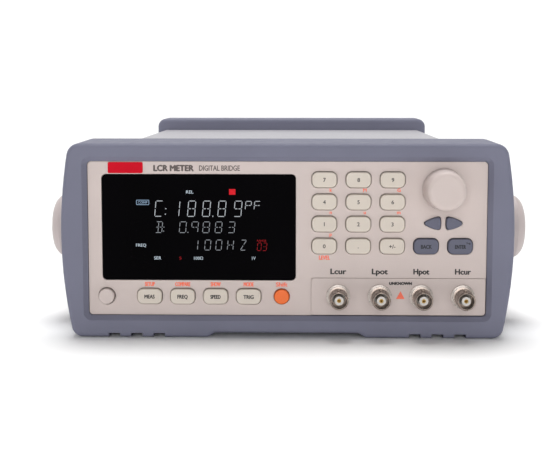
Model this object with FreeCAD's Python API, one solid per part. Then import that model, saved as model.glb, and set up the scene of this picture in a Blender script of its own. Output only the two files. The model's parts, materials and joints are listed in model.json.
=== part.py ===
"""Bench LCR meter, half-rack width and two units high, as an assembly of separate pieces.

Millimetres, +Z up. The front panel looks to -Y, +X is to the right of a person facing it.
Stations along the depth are measured from the panel's face and moved on export, so that the
origin of the finished part is the middle of its footprint, on the surface that it stands on.
"""
import FreeCAD, Part
import math
import os

V = FreeCAD.Vector

# ---- driving dimensions -------------------------------------------------------------------

# case
CASE_WIDTH = 215.0
CASE_HEIGHT = 88.0
CASE_REAR = 313.0            # station of the case's rear edge
FOOT_HEIGHT = 9.6            # underside of the case above the surface
SHEET = 1.2                  # sheet thickness of cover and chassis
COVER_SLOPE_WIDTH = 6.5      # sloped top edge of the cover, across
COVER_SLOPE_DROP = 3.2       # and down
COVER_SKIRT_RISE = 3.4       # lower edge of the cover's sides above the case's underside
CHASSIS_SIDE_DROP = 11.6     # upper edge of the chassis's sides below the case's top
SHEET_GAP = 0.1              # cover to chassis
VENT_WIDTH = 2.6
VENT_HEIGHT = 26.0
VENT_PITCH = 7.0
VENT_COUNT = 14
VENT_LAST_MARGIN = 22.0      # last slot from the case's rear edge
VENT_Z = 58.0
FLOOR_VENT_COUNT = 10
FLOOR_VENT_LENGTH = 40.0
FLOOR_VENT_X = -40.0         # middle of the slots in the chassis floor

# screws
SCREW_RADIUS = 1.5
SCREW_PLAY = 0.05
SCREW_HEAD_RADIUS = 2.9
SCREW_HEAD = 1.8
SLOT_WIDTH = 0.8
COVER_SCREW_RISE = 9.4       # side screws above the case's underside
COVER_SCREW_STATIONS = (0.35, 0.9)    # shares of the case's length
COVER_SCREW_LENGTH = 5.0
REAR_SCREW_LENGTH = 10.0

# front panel
PANEL_SIDE_MARGIN = 1.9      # case's side to the panel
PANEL_TOP_MARGIN = 3.8       # case's top to the panel
PANEL_BOTTOM_MARGIN = 2.1    # case's underside to the panel
PANEL_THICKNESS = 3.0
PANEL_CORNER = 2.0
RIM_DEPTH = 2.0              # stiffening rim behind the panel
RIM_WALL = 2.3
FLANGE_PLAY = 0.2            # rim to case outline

# front bumper
BUMPER_PROUD = 3.5           # in front of the panel's face
BUMPER_DEPTH = 45.5
BUMPER_FRONT_RISE = 5.8      # top of its front edge above the case
BUMPER_REAR_RISE = 6.3       # top of its rear edge above the case
BUMPER_SIDE = 12.4           # side wall at its widest, outside the case
BUMPER_WIDEST_Z = 55.0
BUMPER_SIDE_RADIUS = 255.0   # long curve of each side
BUMPER_TOP_CORNER = 7.0
BUMPER_FOOT_CORNER = 6.0
BUMPER_EDGE = 2.4            # rounded front edge
BUMPER_BEVEL = 2.4           # bevel round the panel opening
PANEL_GAP = 0.2
FOOT_INNER = 42.0            # inner end of each foot
FOOT_STEP = 2.4              # how far the middle is raised
FOOT_SLOPE = 4.0
NOTCH_FIRST = 68.0
NOTCH_PITCH = 12.0
NOTCH_COUNT = 3
NOTCH_WIDTH = 6.2
NOTCH_LENGTH = 30.0          # notches run this far back

# rear bumper
REAR_BUMPER_DEPTH = 33.0
REAR_BUMPER_RISE = 9.0       # its top above the case
REAR_BUMPER_OUTSIDE = 0.5    # outside the case at each side
REAR_BUMPER_CORNER = 6.5
REAR_BUMPER_WALL = 7.5
REAR_BUMPER_EDGE = 2.0       # rounded rear edge
REAR_BUMPER_LIP = 3.0        # rounded edge that shows over the case
SPIGOT_LENGTH = 10.0         # tongue that plugs into the case
SPIGOT_WALL = 2.0
REAR_RECESS = 17.5           # rear panel's face inside the bumper
REAR_PANEL_THICKNESS = 1.5
REAR_PANEL_PLAY = 0.2        # rear panel to the bumper's opening, all round
GUSSET = 12.0                # square corner pieces that take the rear panel's screws

# display
WINDOW_LEFT_MARGIN = 7.2     # from the panel's left edge
WINDOW_TOP_MARGIN = 6.6
WINDOW_BOTTOM_MARGIN = 18.6
WINDOW_CORNER = 2.5
WINDOW_THICKNESS = 1.8
WINDOW_PLAY = 0.2
WINDOW_LEDGE = 3.2
WINDOW_SUNK = 0.2            # below the panel's face
WINDOW_EDGE = 0.3            # rounded front edge
MODULE_DEPTH = 5.4
MODULE_OVERLAP = 1.2         # module beyond the opening behind the window
MODULE_GLASS_GAP = 0.2       # display's glass to the window
MODULE_GLASS_PLAY = 0.3      # display's glass to the opening
BOARD = 1.6                  # circuit board thickness

# keys
KEY_WIDTH = 13.0
KEY_HEIGHT = 8.2
KEY_CORNER = 3.0
KEY_PLAY = 0.4               # cap to panel, all round
KEY_PROUD = 1.8
KEY_EDGE = 0.7               # rounded front edge
KEY_FLANGE = 0.9             # retaining flange, beyond the cap all round
KEY_FLANGE_THICKNESS = 1.0
KEY_TRAVEL = 1.2
KEY_REST_GAP = 0.1           # flange to panel
COLUMN_GAP = 4.95            # between neighbouring columns of keys
ROW_GAP = 3.55               # between neighbouring rows of keys
KEYPAD_LEFT_MARGIN = 8.4     # window to the first column
KEYPAD_RIGHT_MARGIN = 7.5    # last column to the panel's right edge
KEYPAD_TOP_MARGIN = 5.4      # first row to the panel's top edge
ARROW_LENGTH = 8.0
ARROW_HEIGHT = 6.9
ARROW_SPLIT = 2.8            # between the two arrow keys
ARROW_BULGE = 0.5            # of the inner edge
ARROW_TIP = 1.4              # rounding of the tip and of the inner corners
ARROW_TIP_REACH = 0.4        # how far the tip stands out of its two curves
ARROW_RISE = 0.5             # above the third row of keys
FUNCTION_GAP = 4.6           # between neighbouring function keys
FUNCTION_FIRST = 25.3        # first function key from the window's left edge
FUNCTION_ROW = 10.1           # row height above the panel's lower edge
SHIFT_DIAMETER = 8.0
SHIFT_GAP = 7.1              # last function key to the round one
POWER_DIAMETER = 8.4
POWER_MARGIN = 2.3           # power button from the window's left edge
POWER_PLAY = 0.5
POWER_PROUD = 2.6
POWER_TRAVEL = 1.5
MAT_THICKNESS = 1.0
MAT_DOME = 0.7
MAT_DOME_RADIUS = 3.0
MAT_GAP = 0.2                # dome to a fully pressed key
MAT_MARGIN = 0.5             # mat and keypad board to the panel's rim
POST_RADIUS = 1.3
POST_PLAY = 0.2
POST_GAP = 0.6               # first post to the keys' flanges
POWER_POST = 11.0            # post to the right of the power button

# knob
KNOB_MARGIN = 23.1           # knob axis from the panel's right edge
KNOB_DROP = 14.4             # and from its top edge
KNOB_BASE_DIAMETER = 22.2
KNOB_FRONT_DIAMETER = 20.0
KNOB_LENGTH = 15.0
KNOB_GAP = 0.7               # panel to knob
KNOB_EDGE = 2.6
SHAFT_DIAMETER = 6.0
SHAFT_PLAY = 0.05
ENCODER_SIZE = 14.0
ENCODER_BUSHING = 9.0
ENCODER_NUT_DIAMETER = 12.0
ENCODER_NUT_THICKNESS = 2.0
ENCODER_NUT_ROOM = 1.5       # inside the knob, round and in front of the nut
SHAFT_IN_KNOB = 9.0

# measuring terminals
BNC_PITCH = 22.0
BNC_LAST_MARGIN = 12.2       # last jack from the panel's right edge
BNC_COUNT = 4
BNC_RISE = 0.3               # row of jacks above the row of function keys
BNC_BARREL = 9.6             # outside the mouth
BNC_MOUTH = 3.2              # length of the barrel in front of the lugs
BNC_RELIEF = 0.1             # barrel behind the mouth is this much smaller in radius
BNC_MOUTH_EDGE = 0.4
BNC_BASE = 12.7
BNC_THREAD = 9.2
BNC_REACH = 14.4             # tip in front of the panel's face
BNC_BORE = 8.2
BNC_BORE_DEPTH = 9.0
BNC_INSULATOR = 4.7
BNC_CONTACT = 2.2
BNC_CONTACT_BORE = 1.35
BNC_LUG = 2.0
BNC_LUG_RISE = 0.7
BNC_LUG_SETBACK = 4.6
BNC_NUT_FLATS = 12.6
BNC_NUT_THICKNESS = 2.4
BNC_TAIL = 10.0              # body behind the panel's face
BNC_TAIL_BORE = 3.5
BNC_CONTACT_TAIL = 2.0       # contact behind the body
BASE_RING = 1.5              # ring at the foot of each jack
SHOULDER = 0.9
SHOULDER_RISE = 0.7
INSULATOR_SETBACK = 1.0      # behind the mouth
CONTACT_SETBACK = 1.8
CONTACT_BORE_DEPTH = 5.0
TERMINAL_PLATE_LEFT = 14.3   # plate's left edge beyond the first jack
TERMINAL_PLATE_HEIGHT = 20.0
TERMINAL_PLATE_THICKNESS = 1.0
TERMINAL_PLATE_PROUD = 0.2
TERMINAL_GROOVE = 0.3

# carrying handle
PIVOT_STATION = 54.0
PIVOT_Z = 53.0
HANDLE_REACH = 135.0         # pivot to the middle of the grip
HANDLE_ARM = 5.5             # thickness of each arm
HANDLE_ARM_GAP = 2.6         # bumper's widest point to the arm
HANDLE_ARM_ROOT = 11.0       # half width of the arm at the hub
HUB_RADIUS = 18.0
HUB_CAP = 6.5                # cap's thickness
HUB_CAP_FLAT = 8.0           # radius of its flat middle
HUB_CAP_EDGE = 1.5           # upright rim of the cap
HUB_CAP_CAVITY = 12.0
CAVITY_DEPTH = 4.0
GRIP_THICKNESS = 6.4
GRIP_LENGTH = 22.0           # along the depth, as folded
GRIP_UNDER_CASE = 1.6        # gap between grip and case
GRIP_CORNER = 9.0
STUD_DIAMETER = 12.0
STUD_PLAY = 0.06
BOSS_RADIUS = 11.5
BOSS_GAP = 0.3
WASHER_RADIUS = 9.0
WASHER = 1.2
WASHER_GAP = 0.3
STUD_HEAD_RADIUS = 5.0
STUD_HEAD = 1.1
STUD_COLLAR = 4.0            # thickness of the stud's inner collar, and its step

# rear panel fittings
FAN_SIZE = 60.0
FAN_DEPTH = 15.0
FAN_X = -58.0
FAN_BLADES = 7
FAN_HUB = 13.0
FAN_SWEEP = 26.5
FAN_HOLE = 4.2
FAN_HOLE_PITCH = 5.8
FAN_AXLE = 1.5
FAN_SEAT = 2.0               # thickness of the motor's seat and of its struts
FAN_STRUTS = 3
FAN_BLADE = 1.2
FAN_BLADE_TWIST = 40.0       # degrees
INLET_X = 72.0
INLET_Z = 52.0
INLET_WIDTH = 34.0
INLET_HEIGHT = 46.0
INLET_FLANGE = 2.5
INLET_EDGE = 2.5             # flange beyond the body, all round
INLET_PLAY = 0.2
INLET_BODY_DEPTH = 24.0
SOCKET_WIDTH = 24.4
SOCKET_HEIGHT = 16.0
SOCKET_DEPTH = 17.0
SOCKET_Z = -8.5              # socket's middle from the inlet's middle
SOCKET_CORNER = 4.5
DRAWER_WIDTH = 26.0
DRAWER_HEIGHT = 9.0
DRAWER_DEPTH = 20.0
DRAWER_Z = 13.0
DRAWER_PLAY = 0.3
DRAWER_LIP = 1.6
DRAWER_WALL = 1.5
CONNECTOR_X = 10.0
SERIAL_Z = 70.0
HANDLER_Z = 38.0
SERIAL_SHELL = 17.0
HANDLER_SHELL = 39.0
SHELL_HEIGHT = 8.4
SHELL_TAPER = 1.3
SHELL_REACH = 6.0
SHELL_WALL = 0.6
SHELL_PLAY = 1.0             # shell to its opening in the rear panel
JACK_OFFSET = 4.0            # jack screw beyond the shell
JACK_RADIUS = 2.4
CONTACT_PITCH = 2.76
CONTACT_ROWS = 2.84
GROUND_X = 42.0
GROUND_Z = 24.0
GROUND_STUD = 2.0
GROUND_LENGTH = 14.0
GROUND_KNOB_RADIUS = 5.5
GROUND_RIDGES = 16

# inside
MAIN_BOARD_FRONT = 62.0
MAIN_BOARD_MARGIN = 8.0      # case's side to the board
MAIN_BOARD_GAP = 18.0        # board's rear edge to the transformer
STANDOFF = 8.0
STANDOFF_RADIUS = 3.0
SHIELD_HEIGHT = 18.0
SHIELD_WALL = 0.6
TRANSFORMER_LENGTH = 46.0    # along the depth
TRANSFORMER_WIDTH = 56.0
TRANSFORMER_HEIGHT = 50.0
TRANSFORMER_CORE = 26.0      # stack of laminations
TRANSFORMER_LIMB = 10.0
TRANSFORMER_REAR_GAP = 27.0  # transformer to the rear bumper's tongue
TRANSFORMER_SIDE_GAP = 14.0  # transformer to the case's side
LEAD_DIAMETER = 2.6
RIBBON_WIDTH = 26.0
RIBBON_THICKNESS = 0.9

# ---- places worked out from them ------------------------------------------------------------

HALF_CASE = CASE_WIDTH / 2
CASE_TOP = FOOT_HEIGHT + CASE_HEIGHT
PANEL_WIDTH = CASE_WIDTH - 2 * PANEL_SIDE_MARGIN
PANEL_HEIGHT = CASE_HEIGHT - PANEL_TOP_MARGIN - PANEL_BOTTOM_MARGIN
PANEL_BASE = FOOT_HEIGHT + PANEL_BOTTOM_MARGIN
PANEL_LEFT = -PANEL_WIDTH / 2
PANEL_RIGHT = PANEL_WIDTH / 2
PANEL_TOP = PANEL_BASE + PANEL_HEIGHT
CASE_FRONT = PANEL_THICKNESS + RIM_DEPTH
BUMPER_HALF = HALF_CASE + BUMPER_SIDE
BUMPER_FRONT_TOP = CASE_TOP + BUMPER_FRONT_RISE
BUMPER_REAR_TOP = CASE_TOP + BUMPER_REAR_RISE
REAR_BUMPER_TOP = CASE_TOP + REAR_BUMPER_RISE
COVER_SKIRT_Z = FOOT_HEIGHT + COVER_SKIRT_RISE
COVER_SCREW_Z = FOOT_HEIGHT + COVER_SCREW_RISE
CHASSIS_SIDE_Z = CASE_TOP - CHASSIS_SIDE_DROP
REAR_END = CASE_REAR + REAR_BUMPER_DEPTH
REAR_FACE = REAR_END - REAR_RECESS
REAR_INSIDE = REAR_FACE - REAR_PANEL_THICKNESS

COLUMN_PITCH = KEY_WIDTH + COLUMN_GAP
ROW_PITCH = KEY_HEIGHT + ROW_GAP
FUNCTION_PITCH = KEY_WIDTH + FUNCTION_GAP
LAST_COLUMN = PANEL_RIGHT - KEYPAD_RIGHT_MARGIN - KEY_WIDTH / 2
FIRST_ROW = PANEL_TOP - KEYPAD_TOP_MARGIN - KEY_HEIGHT / 2
COLUMNS = [LAST_COLUMN - COLUMN_PITCH * n for n in (4, 3, 2, 1, 0)]
ROWS = [FIRST_ROW - ROW_PITCH * n for n in range(4)]

# the window takes what the keys leave
WINDOW_LEFT = PANEL_LEFT + WINDOW_LEFT_MARGIN
WINDOW_WIDTH = COLUMNS[0] - KEY_WIDTH / 2 - KEYPAD_LEFT_MARGIN - WINDOW_LEFT
WINDOW_BASE = PANEL_BASE + WINDOW_BOTTOM_MARGIN
WINDOW_HEIGHT = PANEL_HEIGHT - WINDOW_TOP_MARGIN - WINDOW_BOTTOM_MARGIN
WINDOW_X = WINDOW_LEFT + WINDOW_WIDTH / 2
WINDOW_Z = WINDOW_BASE + WINDOW_HEIGHT / 2

FUNCTION_Z = PANEL_BASE + FUNCTION_ROW
FUNCTION_X = [WINDOW_LEFT + FUNCTION_FIRST + FUNCTION_PITCH * n for n in range(4)]
SHIFT_X = FUNCTION_X[3] + KEY_WIDTH / 2 + SHIFT_GAP + SHIFT_DIAMETER / 2
POWER_X = WINDOW_LEFT + POWER_MARGIN
KNOB_X = PANEL_RIGHT - KNOB_MARGIN
KNOB_Z = PANEL_TOP - KNOB_DROP
ARROWS_X = (COLUMNS[3] + COLUMNS[4]) / 2
ARROWS_Z = ROWS[2] + ARROW_RISE

BNC_X = [PANEL_RIGHT - BNC_LAST_MARGIN - BNC_PITCH * n for n in range(BNC_COUNT - 1, -1, -1)]
BNC_Z = FUNCTION_Z + BNC_RISE
TERMINAL_LEFT = BNC_X[0] - TERMINAL_PLATE_LEFT
TERMINAL_TOP = PANEL_BASE + TERMINAL_PLATE_HEIGHT
TERMINAL_FACE = -TERMINAL_PLATE_PROUD

FLANGE_FRONT = PANEL_THICKNESS + KEY_REST_GAP
FLANGE_REAR = FLANGE_FRONT + KEY_FLANGE_THICKNESS
DOME_FRONT = FLANGE_REAR + max(KEY_TRAVEL, POWER_TRAVEL) + MAT_GAP
MAT_FRONT = DOME_FRONT + MAT_DOME
KEYPAD_FRONT = MAT_FRONT + MAT_THICKNESS
KEYPAD_REAR = KEYPAD_FRONT + BOARD

FAN_Z = FOOT_HEIGHT + CASE_HEIGHT / 2
FAN_FRONT = REAR_INSIDE - FAN_DEPTH

TRANSFORMER_FRONT = CASE_REAR - SPIGOT_LENGTH - TRANSFORMER_REAR_GAP - TRANSFORMER_LENGTH
BOARD_REAR = TRANSFORMER_FRONT - MAIN_BOARD_GAP
BOARD_HALF = HALF_CASE - MAIN_BOARD_MARGIN
BOARD_Z = FOOT_HEIGHT + SHEET + STANDOFF

ARM_INNER = BUMPER_HALF + HANDLE_ARM_GAP
ARM_OUTER = ARM_INNER + HANDLE_ARM
GRIP_Z = FOOT_HEIGHT - GRIP_UNDER_CASE - GRIP_THICKNESS / 2
GRIP_STATION = PIVOT_STATION + math.sqrt(HANDLE_REACH**2 - (PIVOT_Z - GRIP_Z)**2)

# the origin's station is the middle of the finished part's depth
FRONT_REACH = max(BNC_REACH, KNOB_GAP + KNOB_LENGTH)
MIDDLE = (REAR_END - FRONT_REACH) / 2


# ---- shape helpers ----------------------------------------------------------------------------

def block(x0, x1, y0, y1, z0, z1):
    return Part.makeBox(x1 - x0, y1 - y0, z1 - z0, V(x0, y0, z0))


def rod_y(x, z, radius, y0, y1):
    return Part.makeCylinder(radius, y1 - y0, V(x, y0, z), V(0, 1, 0))


def rod_x(y, z, radius, x0, x1):
    return Part.makeCylinder(radius, x1 - x0, V(x0, y, z), V(1, 0, 0))


def rod_z(x, y, radius, z0, z1):
    return Part.makeCylinder(radius, z1 - z0, V(x, y, z0), V(0, 0, 1))


def fuse(shapes):
    joined = shapes[0]
    if len(shapes) > 1:
        joined = shapes[0].multiFuse(shapes[1:])
    return joined.removeSplitter()


def cut(shape, tools):
    return shape.cut(Part.Compound(tools))


def prism(points, y0, y1):
    """Solid between two stations with a straight-sided outline of (x, z) points."""
    wire = Part.makePolygon([V(x, y0, z) for x, z in points] + [V(points[0][0], y0, points[0][1])])
    return Part.Face(wire).extrude(V(0, y1 - y0, 0))


def rounded_block(x, z, width, height, corner, y0, y1):
    """Block centred on (x, z) with its four edges along the depth rounded."""
    shape = block(x - width / 2, x + width / 2, y0, y1, z - height / 2, z + height / 2)
    edges = [e for e in shape.Edges if abs(e.tangentAt(e.FirstParameter).y) > 0.9]
    return shape.makeFillet(corner, edges)


def round_front(shape, station, radius):
    """Round every edge that lies in the plane of the given station."""
    edges = [e for e in shape.Edges if e.BoundBox.YLength < 1e-4 and abs(e.BoundBox.YMin - station) < 1e-4]
    return shape.makeFillet(radius, edges)


def turned_y(x, z, profile):
    """Solid turned about an axis along the depth, from (radius, station) points."""
    points = [V(x + r, y, z) for r, y in profile]
    face = Part.Face(Part.makePolygon(points + [points[0]]))
    return face.revolve(V(x, 0, z), V(0, 1, 0), 360)


def hexagon_y(x, z, flats, y0, y1):
    corner = flats / math.sqrt(3)
    points = [(x + corner * math.cos(math.radians(60 * n)), z + corner * math.sin(math.radians(60 * n)))
              for n in range(6)]
    return prism(points, y0, y1)


def mirrored(shape):
    return shape.mirror(V(0, 0, 0), V(1, 0, 0))


# ---- front bumper ---------------------------------------------------------------------------------

def side_reach(z):
    """Half width of the bumper at a height, on the long curve of its side."""
    rise = z - BUMPER_WIDEST_Z
    return BUMPER_HALF - BUMPER_SIDE_RADIUS + math.sqrt(BUMPER_SIDE_RADIUS**2 - rise**2)


def bumper_outline(station, top):
    """Outline with two feet and a raised middle, sides as one arc each, corners still sharp."""
    def point(x, z):
        return V(x, station, z)

    edges = []
    bottom = [(-side_reach(0), 0), (-FOOT_INNER, 0), (-FOOT_INNER + FOOT_SLOPE, FOOT_STEP),
              (FOOT_INNER - FOOT_SLOPE, FOOT_STEP), (FOOT_INNER, 0), (side_reach(0), 0)]
    for start, end in zip(bottom, bottom[1:]):
        edges.append(Part.LineSegment(point(*start), point(*end)).toShape())
    for sign in (1, -1):
        arc = Part.Arc(point(sign * side_reach(0), 0), point(sign * BUMPER_HALF, BUMPER_WIDEST_Z),
                       point(sign * side_reach(top), top))
        edges.append(arc.toShape())
    edges.append(Part.LineSegment(point(side_reach(top), top), point(-side_reach(top), top)).toShape())
    return Part.Wire(Part.__sortEdges__(edges))


def outer_edges(shape):
    """Edges along the bumper's depth at its outer corners."""
    return [e for e in shape.Edges if e.BoundBox.YLength > BUMPER_DEPTH / 2
            and abs(e.CenterOfMass.x) > FOOT_INNER + 1]


def front_bumper():
    front = -BUMPER_PROUD
    rear = front + BUMPER_DEPTH
    shape = Part.makeLoft([bumper_outline(front, BUMPER_FRONT_TOP), bumper_outline(rear, BUMPER_REAR_TOP)],
                          True, True)
    upper = [e for e in outer_edges(shape) if e.CenterOfMass.z > BUMPER_WIDEST_Z]
    shape = shape.makeFillet(BUMPER_TOP_CORNER, upper)
    lower = [e for e in outer_edges(shape) if e.CenterOfMass.z < 1]
    shape = shape.makeFillet(BUMPER_FOOT_CORNER, lower)
    shape = round_front(shape, front, BUMPER_EDGE)

    mid_z = PANEL_BASE + PANEL_HEIGHT / 2
    width = PANEL_WIDTH + 2 * PANEL_GAP
    height = PANEL_HEIGHT + 2 * PANEL_GAP
    opening = rounded_block(0, mid_z, width, height, PANEL_CORNER, front - 1, rear + 1)
    case_z = FOOT_HEIGHT + CASE_HEIGHT / 2
    pocket = rounded_block(0, case_z, CASE_WIDTH + 2 * FLANGE_PLAY, CASE_HEIGHT + 2 * FLANGE_PLAY,
                           PANEL_CORNER, PANEL_THICKNESS, rear + 1)
    shape = shape.cut(opening)
    inner = [e for e in shape.Edges if e.BoundBox.YLength < 1e-4 and abs(e.BoundBox.YMin - front) < 1e-4
             and abs(e.CenterOfMass.x) < width / 2 + 0.1 and abs(e.CenterOfMass.z - mid_z) < height / 2 + 0.1]
    shape = shape.makeChamfer(BUMPER_BEVEL, inner)
    notches = []
    for n in range(NOTCH_COUNT):
        for sign in (1, -1):
            x = sign * (NOTCH_FIRST + NOTCH_PITCH * n)
            notches.append(block(x - NOTCH_WIDTH / 2, x + NOTCH_WIDTH / 2, front - 1,
                                 front + NOTCH_LENGTH, -1, FOOT_STEP))
    return cut(shape, [pocket] + notches)


# ---- rear bumper --------------------------------------------------------------------------------------

def rear_opening():
    """Inner width, height and middle height of the rear bumper's ring."""
    width = CASE_WIDTH + 2 * REAR_BUMPER_OUTSIDE - 2 * REAR_BUMPER_WALL
    base = FOOT_HEIGHT + SHEET + REAR_BUMPER_CORNER / 2
    top = CASE_TOP - SHEET - REAR_BUMPER_CORNER / 2
    return width, top - base, (top + base) / 2


def screw_places():
    """The rear panel's four screws, in the middle of the bumper's gussets."""
    width, height, mid = rear_opening()
    inset = GUSSET / 2 - 0.5
    return [(sx * (width / 2 - inset), mid + sz * (height / 2 - inset)) for sx in (1, -1) for sz in (1, -1)]


def rear_bumper():
    half = HALF_CASE + REAR_BUMPER_OUTSIDE
    outline = [(-half, 0), (-FOOT_INNER, 0), (-FOOT_INNER + FOOT_SLOPE, FOOT_STEP),
               (FOOT_INNER - FOOT_SLOPE, FOOT_STEP), (FOOT_INNER, 0), (half, 0),
               (half, REAR_BUMPER_TOP), (-half, REAR_BUMPER_TOP)]
    shape = prism(outline, CASE_REAR, REAR_END)
    corners = [e for e in shape.Edges if e.BoundBox.YLength > REAR_BUMPER_DEPTH / 2
               and abs(abs(e.CenterOfMass.x) - half) < 0.1]
    shape = shape.makeFillet(REAR_BUMPER_CORNER, corners)
    shape = round_front(shape, REAR_END, REAR_BUMPER_EDGE)
    shape = round_front(shape, CASE_REAR, REAR_BUMPER_LIP)

    width, height, mid = rear_opening()
    ring = rounded_block(0, mid, width + 2 * SPIGOT_WALL, height + 2 * SPIGOT_WALL, REAR_BUMPER_CORNER,
                         CASE_REAR - SPIGOT_LENGTH, REAR_INSIDE)
    shape = shape.fuse(ring)
    opening = rounded_block(0, mid, width, height, REAR_BUMPER_CORNER / 2,
                            CASE_REAR - SPIGOT_LENGTH - 1, REAR_END + 1)
    shape = shape.cut(opening)
    gussets = []
    for sx in (1, -1):
        for sz in (1, -1):
            x = sorted((sx * width / 2, sx * (width / 2 - GUSSET)))
            z = sorted((mid + sz * height / 2, mid + sz * (height / 2 - GUSSET)))
            piece = block(x[0], x[1], CASE_REAR - SPIGOT_LENGTH, REAR_INSIDE, z[0], z[1])
            gussets.append(piece)
    shape = fuse([shape] + gussets)
    holes = [rod_y(x, z, SCREW_RADIUS + SCREW_PLAY, CASE_REAR - SPIGOT_LENGTH - 1, REAR_INSIDE + 1)
             for x, z in screw_places()]
    return cut(shape, holes)


# ---- case --------------------------------------------------------------------------------------------

def vent_slots(outer):
    """Rows of upright slots through both sides, out to the given half width."""
    slots = []
    for n in range(VENT_COUNT):
        y = CASE_REAR - VENT_LAST_MARGIN - VENT_PITCH * n
        for sign in (1, -1):
            x = sorted((sign * (outer - 6), sign * (outer + 1)))
            slots.append(block(x[0], x[1], y - VENT_WIDTH / 2, y + VENT_WIDTH / 2,
                               VENT_Z - VENT_HEIGHT / 2, VENT_Z + VENT_HEIGHT / 2))
    return slots


def pivot_holes(radius):
    return [rod_x(PIVOT_STATION, PIVOT_Z, radius, -HALF_CASE - 1, HALF_CASE + 1)]


def cover_screw_places():
    return [(sign, CASE_REAR * share) for sign in (1, -1) for share in COVER_SCREW_STATIONS]


def cover_screw_holes():
    holes = []
    for sign, y in cover_screw_places():
        ends = sorted((sign * (HALF_CASE - COVER_SCREW_LENGTH - 1), sign * (HALF_CASE + 1)))
        holes.append(rod_x(y, COVER_SCREW_Z, SCREW_RADIUS + SCREW_PLAY, *ends))
    return holes


def top_cover():
    def outline(inset, low):
        half = HALF_CASE - inset
        top = CASE_TOP - inset
        return [(-half, low), (-half, top - COVER_SLOPE_DROP), (-half + COVER_SLOPE_WIDTH, top),
                (half - COVER_SLOPE_WIDTH, top), (half, top - COVER_SLOPE_DROP), (half, low)]

    outer = prism(outline(0, COVER_SKIRT_Z), CASE_FRONT, CASE_REAR)
    inner = prism(outline(SHEET, COVER_SKIRT_Z - 1), CASE_FRONT - 1, CASE_REAR + 1)
    return cut(outer, [inner] + vent_slots(HALF_CASE) + pivot_holes(STUD_DIAMETER / 2 + STUD_PLAY)
               + cover_screw_holes())


def bottom_chassis():
    half = HALF_CASE - SHEET - SHEET_GAP
    tray = block(-half, half, CASE_FRONT, CASE_REAR, FOOT_HEIGHT, CHASSIS_SIDE_Z)
    room = block(-half + SHEET, half - SHEET, CASE_FRONT - 1, CASE_REAR + 1, FOOT_HEIGHT + SHEET,
                 CHASSIS_SIDE_Z + 1)
    floor_slots = []
    for n in range(FLOOR_VENT_COUNT):
        y = CASE_REAR - VENT_LAST_MARGIN - 2 * VENT_PITCH * n
        floor_slots.append(block(FLOOR_VENT_X - FLOOR_VENT_LENGTH / 2, FLOOR_VENT_X + FLOOR_VENT_LENGTH / 2,
                                 y - VENT_WIDTH / 2, y + VENT_WIDTH / 2,
                                 FOOT_HEIGHT - 1, FOOT_HEIGHT + SHEET + 1))
    return cut(tray, [room] + floor_slots + vent_slots(half) + pivot_holes(STUD_DIAMETER / 2 + STUD_PLAY)
               + cover_screw_holes())


def cover_screws():
    screws = []
    for sign, y in cover_screw_places():
        outside = sign * (HALF_CASE + SCREW_HEAD / 2)
        shank = rod_x(y, COVER_SCREW_Z, SCREW_RADIUS,
                      *sorted((sign * (HALF_CASE - COVER_SCREW_LENGTH), sign * HALF_CASE)))
        head = rod_x(y, COVER_SCREW_Z, SCREW_HEAD_RADIUS, *sorted((sign * HALF_CASE, outside)))
        x = sorted((outside, outside - sign * SCREW_HEAD / 3))
        slot = block(x[0], x[1], y - SCREW_HEAD_RADIUS, y + SCREW_HEAD_RADIUS,
                     COVER_SCREW_Z - SLOT_WIDTH / 2, COVER_SCREW_Z + SLOT_WIDTH / 2)
        screws.append(shank.fuse(head).cut(slot))
    return screws


# ---- keys ---------------------------------------------------------------------------------------------

def arrow_solid(sign, grow, y0, y1):
    """Half of a pointed ellipse: tip outwards, inner edge a shallow curve; grown all round."""
    inner = ARROWS_X + sign * (ARROW_SPLIT / 2 + ARROW_BULGE - grow)
    outer = ARROWS_X + sign * (ARROW_SPLIT / 2 + ARROW_LENGTH + grow)
    half = ARROW_HEIGHT / 2 + grow
    bulge_x = inner - sign * ARROW_BULGE
    shoulder = inner + sign * ARROW_LENGTH / 2
    tip_x = outer + sign * ARROW_TIP_REACH
    tip_z = ARROW_TIP * 0.7

    def point(x, z):
        return V(x, y0, ARROWS_Z + z)

    upper = Part.Arc(point(inner, half), point(shoulder, half * 0.78), point(outer, tip_z))
    tip = Part.Arc(point(outer, tip_z), point(tip_x, 0), point(outer, -tip_z))
    lower = Part.Arc(point(outer, -tip_z), point(shoulder, -half * 0.78), point(inner, -half))
    back = Part.Arc(point(inner, -half), point(bulge_x, 0), point(inner, half))
    wire = Part.Wire([c.toShape() for c in (upper, tip, lower, back)])
    solid = Part.Face(wire).extrude(V(0, y1 - y0, 0))
    shoulders = [e for e in solid.Edges if e.BoundBox.YLength > (y1 - y0) / 2
                 and abs(e.CenterOfMass.x - inner) < 0.05]
    return solid.makeFillet(ARROW_TIP, shoulders)


def rectangular_key(x, z):
    cap = rounded_block(x, z, KEY_WIDTH, KEY_HEIGHT, KEY_CORNER, -KEY_PROUD, FLANGE_REAR)
    cap = round_front(cap, -KEY_PROUD, KEY_EDGE)
    flange = rounded_block(x, z, KEY_WIDTH + 2 * KEY_FLANGE, KEY_HEIGHT + 2 * KEY_FLANGE, KEY_CORNER,
                           FLANGE_FRONT, FLANGE_REAR)
    return cap.fuse(flange).removeSplitter()


def round_key(x, z, diameter, proud, play):
    cap = round_front(rod_y(x, z, diameter / 2, -proud, FLANGE_REAR), -proud, KEY_EDGE)
    flange = rod_y(x, z, diameter / 2 + play + KEY_FLANGE, FLANGE_FRONT, FLANGE_REAR)
    return cap.fuse(flange).removeSplitter()


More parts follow.
